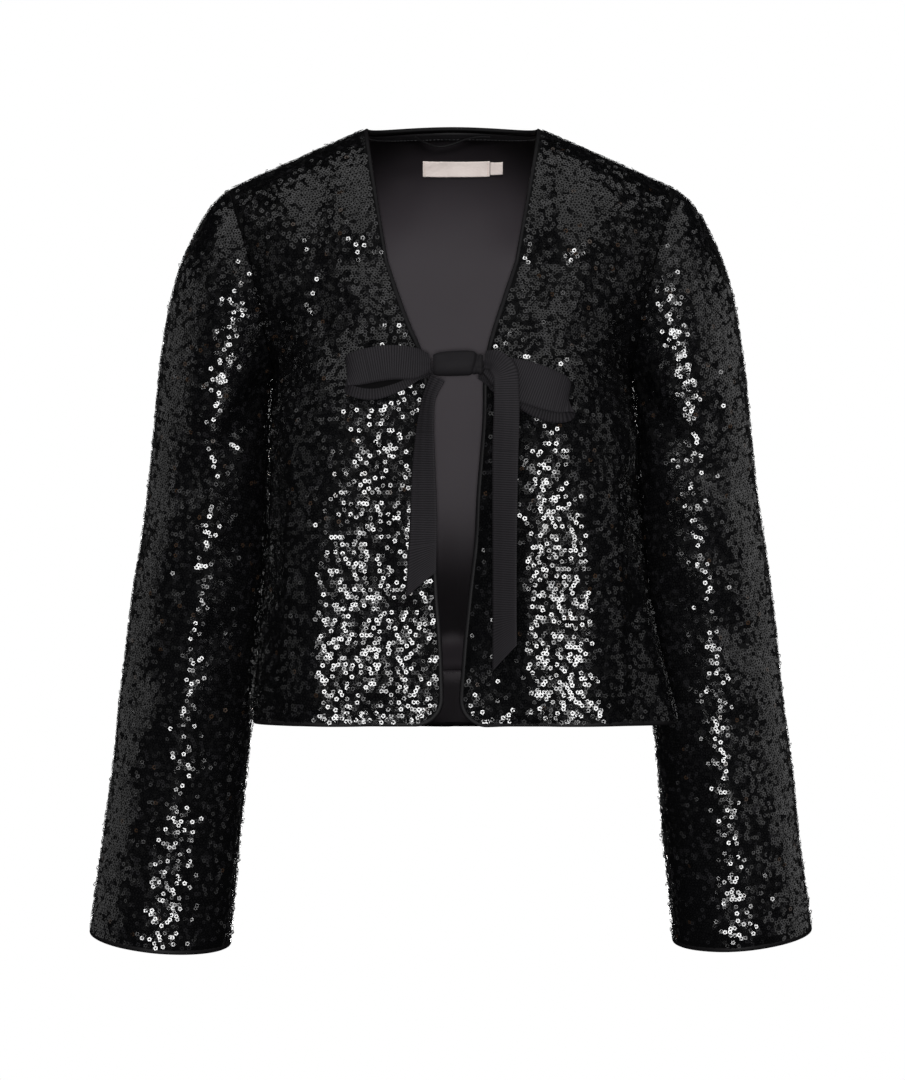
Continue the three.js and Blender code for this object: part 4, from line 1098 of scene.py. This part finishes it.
ribbons = {
    name: ribbon(name, table, **form)
    for name, table, form in (
        ("loop_left", LEFT_LOOP, {"on_edge": True, "cup": LOOP_CUP, "inside": 1}),
        ("loop_right", RIGHT_LOOP, {"on_edge": True, "cup": LOOP_CUP, "inside": -1}),
        ("tail_left", LEFT_TAIL, {"cut": TAIL_CUT, "cup": TAIL_CUP}),
        ("tail_right", RIGHT_TAIL, {"cut": TAIL_CUT, "cup": TAIL_CUP}),
        ("stub_left", LEFT_STUB, {"on_edge": True}),
        ("stub_right", RIGHT_STUB, {"on_edge": True}),
    )
}


def add_knot(count=110, sides=56):
    """The ribbon wrapped round itself, drawn tight, with soft pleats along it and a crease round it."""
    x = np.linspace(KNOT[0][0], KNOT[-1][0], count)
    get = lambda name: read(KNOT, KNOT_COLUMNS, name, x, key="x")[:, None]
    angle = 2 * np.pi * np.arange(sides)[None, :] / sides
    pleat = 0.5 * np.exp(-((angle - 3.6) / 0.22) ** 2) * smoothstep(x, 10, 22)[:, None]
    pleat = pleat + 0.45 * np.exp(-((angle - 2.7) / 0.2) ** 2) * smoothstep(-x, -6, 8)[:, None]
    crease = 0.9 * np.exp(-((x[:, None] - 18.5 - 2.5 * np.sin(angle)) / 1.3) ** 2)
    high = get("high") - pleat - crease
    deep = get("deep") - pleat - crease
    sections = points(x[:, None], get("y") + deep * np.cos(angle), get("z") + high * np.sin(angle))
    # The knot takes the darker ribbon colour, as painted shade
    add_mesh("ribbon_knot", *tube(sections), [KNOT_PAINTED_SHADE], "ribbon", "tie_knot")


add_knot()


# Inside the nape

def on_lining(x, z):
    """The inner face of the back's lining behind places seen from the front, and the way it faces."""
    inner = lining_grid - back_normals[seam_row:] * LINING_DEPTH[1]
    part = inner[len(inner) // 2:]
    normals = -back_normals[seam_row:][len(inner) // 2:]
    flat = part.reshape(-1, 3)
    found, facing = [], []
    for px, pz in zip(x, z):
        off = np.hypot(flat[:, 0] - px, flat[:, 2] - pz)
        near = np.argsort(off)[:4]
        weight = 1 / (off[near] + 0.05)
        weight /= weight.sum()
        found.append((flat[near] * weight[:, None]).sum(0))
        facing.append((normals.reshape(-1, 3)[near] * weight[:, None]).sum(0))
    found = np.array(found)
    return points(x, found[:, 1], z), unit(np.array(facing))


def lying_panel(name, node, box, columns, rows, thick=0.5):
    """A small bare tab of woven satin on the lining, a little puffed between its sewn ends."""
    x, z = np.meshgrid(np.linspace(*box["x"], columns + 1), np.linspace(*box["z"], rows + 1))
    place, facing = on_lining(x.ravel(), z.ravel())
    place, facing = place.reshape(*x.shape, 3), facing.reshape(*x.shape, 3)
    share = (x - box["x"][0]) / (box["x"][1] - box["x"][0])
    puff = 0.35 + 0.5 * np.sin(np.pi * share) ** 0.6
    vertices, faces = wall(place + facing * puff[..., None], facing, (0, -thick))
    add_mesh(name, vertices, faces, [LABEL_SATIN], "label_satin", node)


lying_panel("label_satin_panel", "label", LABEL, 60, 14)
lying_panel("size_tab_panel", "size_tab", SIZE_TAB, 16, 12)


def sections_round(line, side, other, radius, angle):
    """Round outlines about the points of a line, between two directions square to it."""
    return (
        line[:, None]
        + side[:, None] * (radius * np.cos(angle))[..., None]
        + other[:, None] * (radius * np.sin(angle))[..., None]
    )


def cord(name, node, line, radius, material, slot, sides=10):
    """A round twisted cord along a line."""
    tangent = unit(np.gradient(line, axis=0))
    side = unit(np.cross(tangent, np.array([0.0, -1.0, 0.2])))
    other = np.cross(tangent, side)
    angle = 2 * np.pi * np.arange(sides) / sides
    along = distances(line)
    swell = radius * (1 + 0.1 * np.sin(angle[None, :] * 2 + along[:, None] * 2.2))
    add_mesh(name, *tube(sections_round(line, side, other, swell, angle)), [material], slot, node)


def stitches(name, line, facing, material, slot, pitch=3.4, length=2.5, thick=0.3):
    """A row of short stitches along a line, each a spindle that dips in at both ends."""
    along = distances(line)
    starts = np.arange(0.3 * pitch, along[-1] - length, pitch)
    share = np.linspace(0, 1, 5)
    angle = 2 * np.pi * np.arange(6) / 6
    vertices, faces, used = [], [], 0
    for start in starts:
        at = start + share * length
        middle = along_line(at, along, line)
        out = unit(along_line(at, along, facing))
        side = unit(np.cross(np.gradient(middle, axis=0), out))
        swell = thick * (0.25 + 0.75 * np.sin(np.pi * share))
        middle = middle + out * (swell - thick * 0.6)[:, None]
        spindle, quads = tube(sections_round(middle, side, out, swell[:, None], angle))
        vertices.append(spindle)
        faces.append(quads + used)
        used += len(spindle)
    add_mesh(name, np.concatenate(vertices), np.concatenate(faces), [material], slot)


nape = slice(neck_from + 1, BACK_COLUMNS - neck_from)
nape_grid, nape_normals = lining_grid[-4:, nape], back_normals[seam_row:][-4:, nape]
BAND_DEPTH = (LINING_DEPTH[1] + 0.05, LINING_DEPTH[1] + 0.6)
add_mesh("satin_nape_band", *wall(nape_grid, nape_normals, BAND_DEPTH), [BINDING_SATIN], "satin")
sewn = mix(nape_grid[0], nape_grid[1], 0.35)
stitches("stitches_nape", sewn - nape_normals[0] * BAND_DEPTH[1], -nape_normals[0], THREAD, "satin")
sewn = mix(facing_grid[-2], facing_grid[-1], 0.2)
facing_out = back_normals[seam_row - 1]
stitches("stitches_facing", sewn - facing_out * LINING_DEPTH[1], -facing_out, THREAD, "satin")
label_end_z = np.linspace(LABEL["z"][0] + 0.8, LABEL["z"][1] - 0.8, 12)
for name, x in (("left", LABEL["x"][1] - 1.6), ("right", LABEL["x"][0] + 1.6)):
    place, facing = on_lining(np.full(12, x), label_end_z)
    end = (place + facing * 0.95, facing)
    stitches("stitches_label_" + name, *end, LABEL_THREAD, "label_satin", pitch=2.0, length=1.5, thick=0.22)

hanger = np.array(HANGER_LINE)
place, facing = on_lining(hanger[:, 0], hanger[:, 1])
hanger_line, _ = spline(place + facing * (hanger[:, 2:] + 1.1), 160)
cord("hanger_cord", "hanger_loop", hanger_line, 1.0, BINDING_SATIN, "satin")


# Camera, light and stage

camera_data = bpy.data.cameras.new("camera")
camera_data.sensor_fit = "VERTICAL"
camera_data.sensor_height = 36
camera_data.lens = 113.72
camera_data.clip_end = 60  # metres
camera = add_object("camera", camera_data)
camera.location = (0, -2.9, -0.348)
camera.rotation_euler = (np.radians(90), 0, 0)
bpy.context.scene.camera = camera


def place_light(data, place, aim, only=None, but=()):
    """Sets a light in its place, turned to its aim, and keeps it off some pieces.

    It lights only those with one of the words of only in their names, and none with one of but.
    """
    light = add_object(data.name, data)
    light.location = place
    direction = np.array(aim, float) - np.array(place, float)
    pitch = np.arctan2(direction[2], np.hypot(direction[0], direction[1]))
    light.rotation_euler = (np.radians(90) + pitch, 0, np.arctan2(-direction[0], direction[1]))
    light.visible_camera = False
    if only or but:
        lit = bpy.data.collections.new(data.name + "_lit")
        for piece in bpy.context.scene.collection.objects:
            chosen = any(word in piece.name for word in only or [""])
            if piece.type == "MESH" and chosen and not any(word in piece.name for word in but):
                lit.objects.link(piece)
        light.light_linking.receiver_collection = lit
    return light


def add_light(name, place, aim, size, radiance, shines=True, only=None, but=()):
    """A soft panel of light of an even radiance. One that doesn't shine isn't mirrored in the cloth."""
    data = bpy.data.lights.new(name, "AREA")
    data.shape = "RECTANGLE"
    data.size, data.size_y = size
    data.energy = radiance * np.pi * size[0] * size[1]
    place_light(data, place, aim, only, but).visible_glossy = shines


def add_lamp(name, place, aim, radius, cone, fade, watts, only):
    """A lamp with a cone of some degrees, that fades out over a share of it."""
    data = bpy.data.lights.new(name, "SPOT")
    data.spot_size, data.spot_blend, data.shadow_soft_size = np.radians(cone), fade, radius
    data.energy = watts
    place_light(data, place, aim, only)


INNER_BACK = ["satin_back", "satin_facing"]
add_lamp("lining_lamp", (0, -2.7, -0.345), (0, 0.1, -0.188), 0.03, 7.75, 0.6, 182, INNER_BACK)
add_lamp("pleat_lamp", (0, -2.7, -0.352), (0, 0.1, -0.451), 0.004, 1.0, 0.7, 120, INNER_BACK)
add_lamp("facing_lamp", (0, -2.7, -0.352), (0, 0.1, -0.488), 0.004, 1.1, 0.6, 32, INNER_BACK)
add_light("nape_light", (0, -1.5, 1.1), (0, 0, -0.1), (0.8, 0.5), 9, only=INNER_BACK)
add_light("front_strip", (0, -2.7, -0.78), (0, 0, -0.4), (0.5, 1.6), 25.5, but=INNER_BACK)
add_light("left_strip", (0.62, -2.65, -0.3), (0.2, 0, -0.35), (0.36, 0.5), 17, only=["sleeve_left"])
add_light("front_fill", (0, -2.8, 0.3), (0, 0, -0.35), (2.2, 1.6), 1.3, False, but=["satin_back"])
add_light("right_wall", (2.1, -0.55, 0), (0, 0, -0.35), (1.0, 1.5), 0.5, but=["satin_back"])
add_light("left_wall", (-2.1, -0.55, 0), (0, 0, -0.35), (1.0, 1.5), 0.3, but=["satin_back"])
add_light("right_front", (2.2, -1.5, 0.1), (0.3, 0, -0.35), (1.1, 1.4), 0.9, only=["sleeve_left"])
add_light("right_side", (0.95, 0.15, -0.4), (0.3, 0, -0.4), (0.7, 1.0), 0.75, only=["sleeve_left"])
add_light("left_side", (-0.95, 0.15, -0.4), (-0.3, 0, -0.4), (0.7, 1.0), 0.5, only=["sleeve_right"])
add_light("ceiling", (0, -1.1, 2.2), (0, 0, -0.3), (6.0, 4.4), 0.9)
add_light("back_strip", (0, 3.0, -0.7), (0, 0, -0.4), (0.7, 1.6), 9, only=["back", "sleeve"])
add_light("background", (0, 2.4, -0.3), (0, 0, -0.35), (4.4, 2.8), 0.05)

# White where it is seen, and nearly dark for the rays that light the garment
world = bpy.data.worlds.new("world")
bpy.context.scene.world = world
world.use_nodes = True
tree = world.node_tree
seen = tree.nodes["Background"]
seen.inputs["Color"].default_value = (1, 1, 1, 1)
seen.inputs["Strength"].default_value = 1.0
dim = tree.nodes.new("ShaderNodeBackground")
dim.inputs["Color"].default_value = (0.9, 0.92, 1.0, 1)
dim.inputs["Strength"].default_value = 0.008
rays = tree.nodes.new("ShaderNodeLightPath")
choose = tree.nodes.new("ShaderNodeMixShader")
tree.links.new(rays.outputs["Is Camera Ray"], choose.inputs[0])
tree.links.new(dim.outputs[0], choose.inputs[1])
tree.links.new(seen.outputs[0], choose.inputs[2])
tree.links.new(choose.outputs[0], tree.nodes["World Output"].inputs["Surface"])

FLOOR_Z = -1250
FLOOR_SIDES = 96
FLOOR_RINGS = np.array([10, 400, 800, 1200, 1600, 2000, 2300])[:, None]
turn = np.linspace(0, 2 * np.pi, FLOOR_SIDES + 1)[:-1]
floor_points = points(FLOOR_RINGS * np.cos(turn), FLOOR_RINGS * np.sin(turn), FLOOR_Z).reshape(-1, 3)
floor_index = closed_round(np.arange(len(floor_points)).reshape(-1, FLOOR_SIDES))
floor_faces = grid_quads(floor_index)[:, ::-1].tolist() + [list(range(FLOOR_SIDES))[::-1]]
floor_mesh = bpy.data.meshes.new("floor")
floor_mesh.from_pydata((floor_points * MM).tolist(), [], floor_faces)
FLOOR = make_material("floor_paint", (0.9, 0.9, 0.9), 0.7, (0.88, 0.88, 0.88), (0.92, 0.92, 0.92), 3)
floor_mesh.materials.append(FLOOR)
floor = add_object("floor", floor_mesh)
floor.visible_glossy = False
floor.visible_diffuse = False
add_light("floor_light", (0, 0, 2.6), (0, 0.01, -1.2), (3.4, 3.4), 4.2, only=["floor"])

bpy.context.scene.view_settings.view_transform = "Standard"
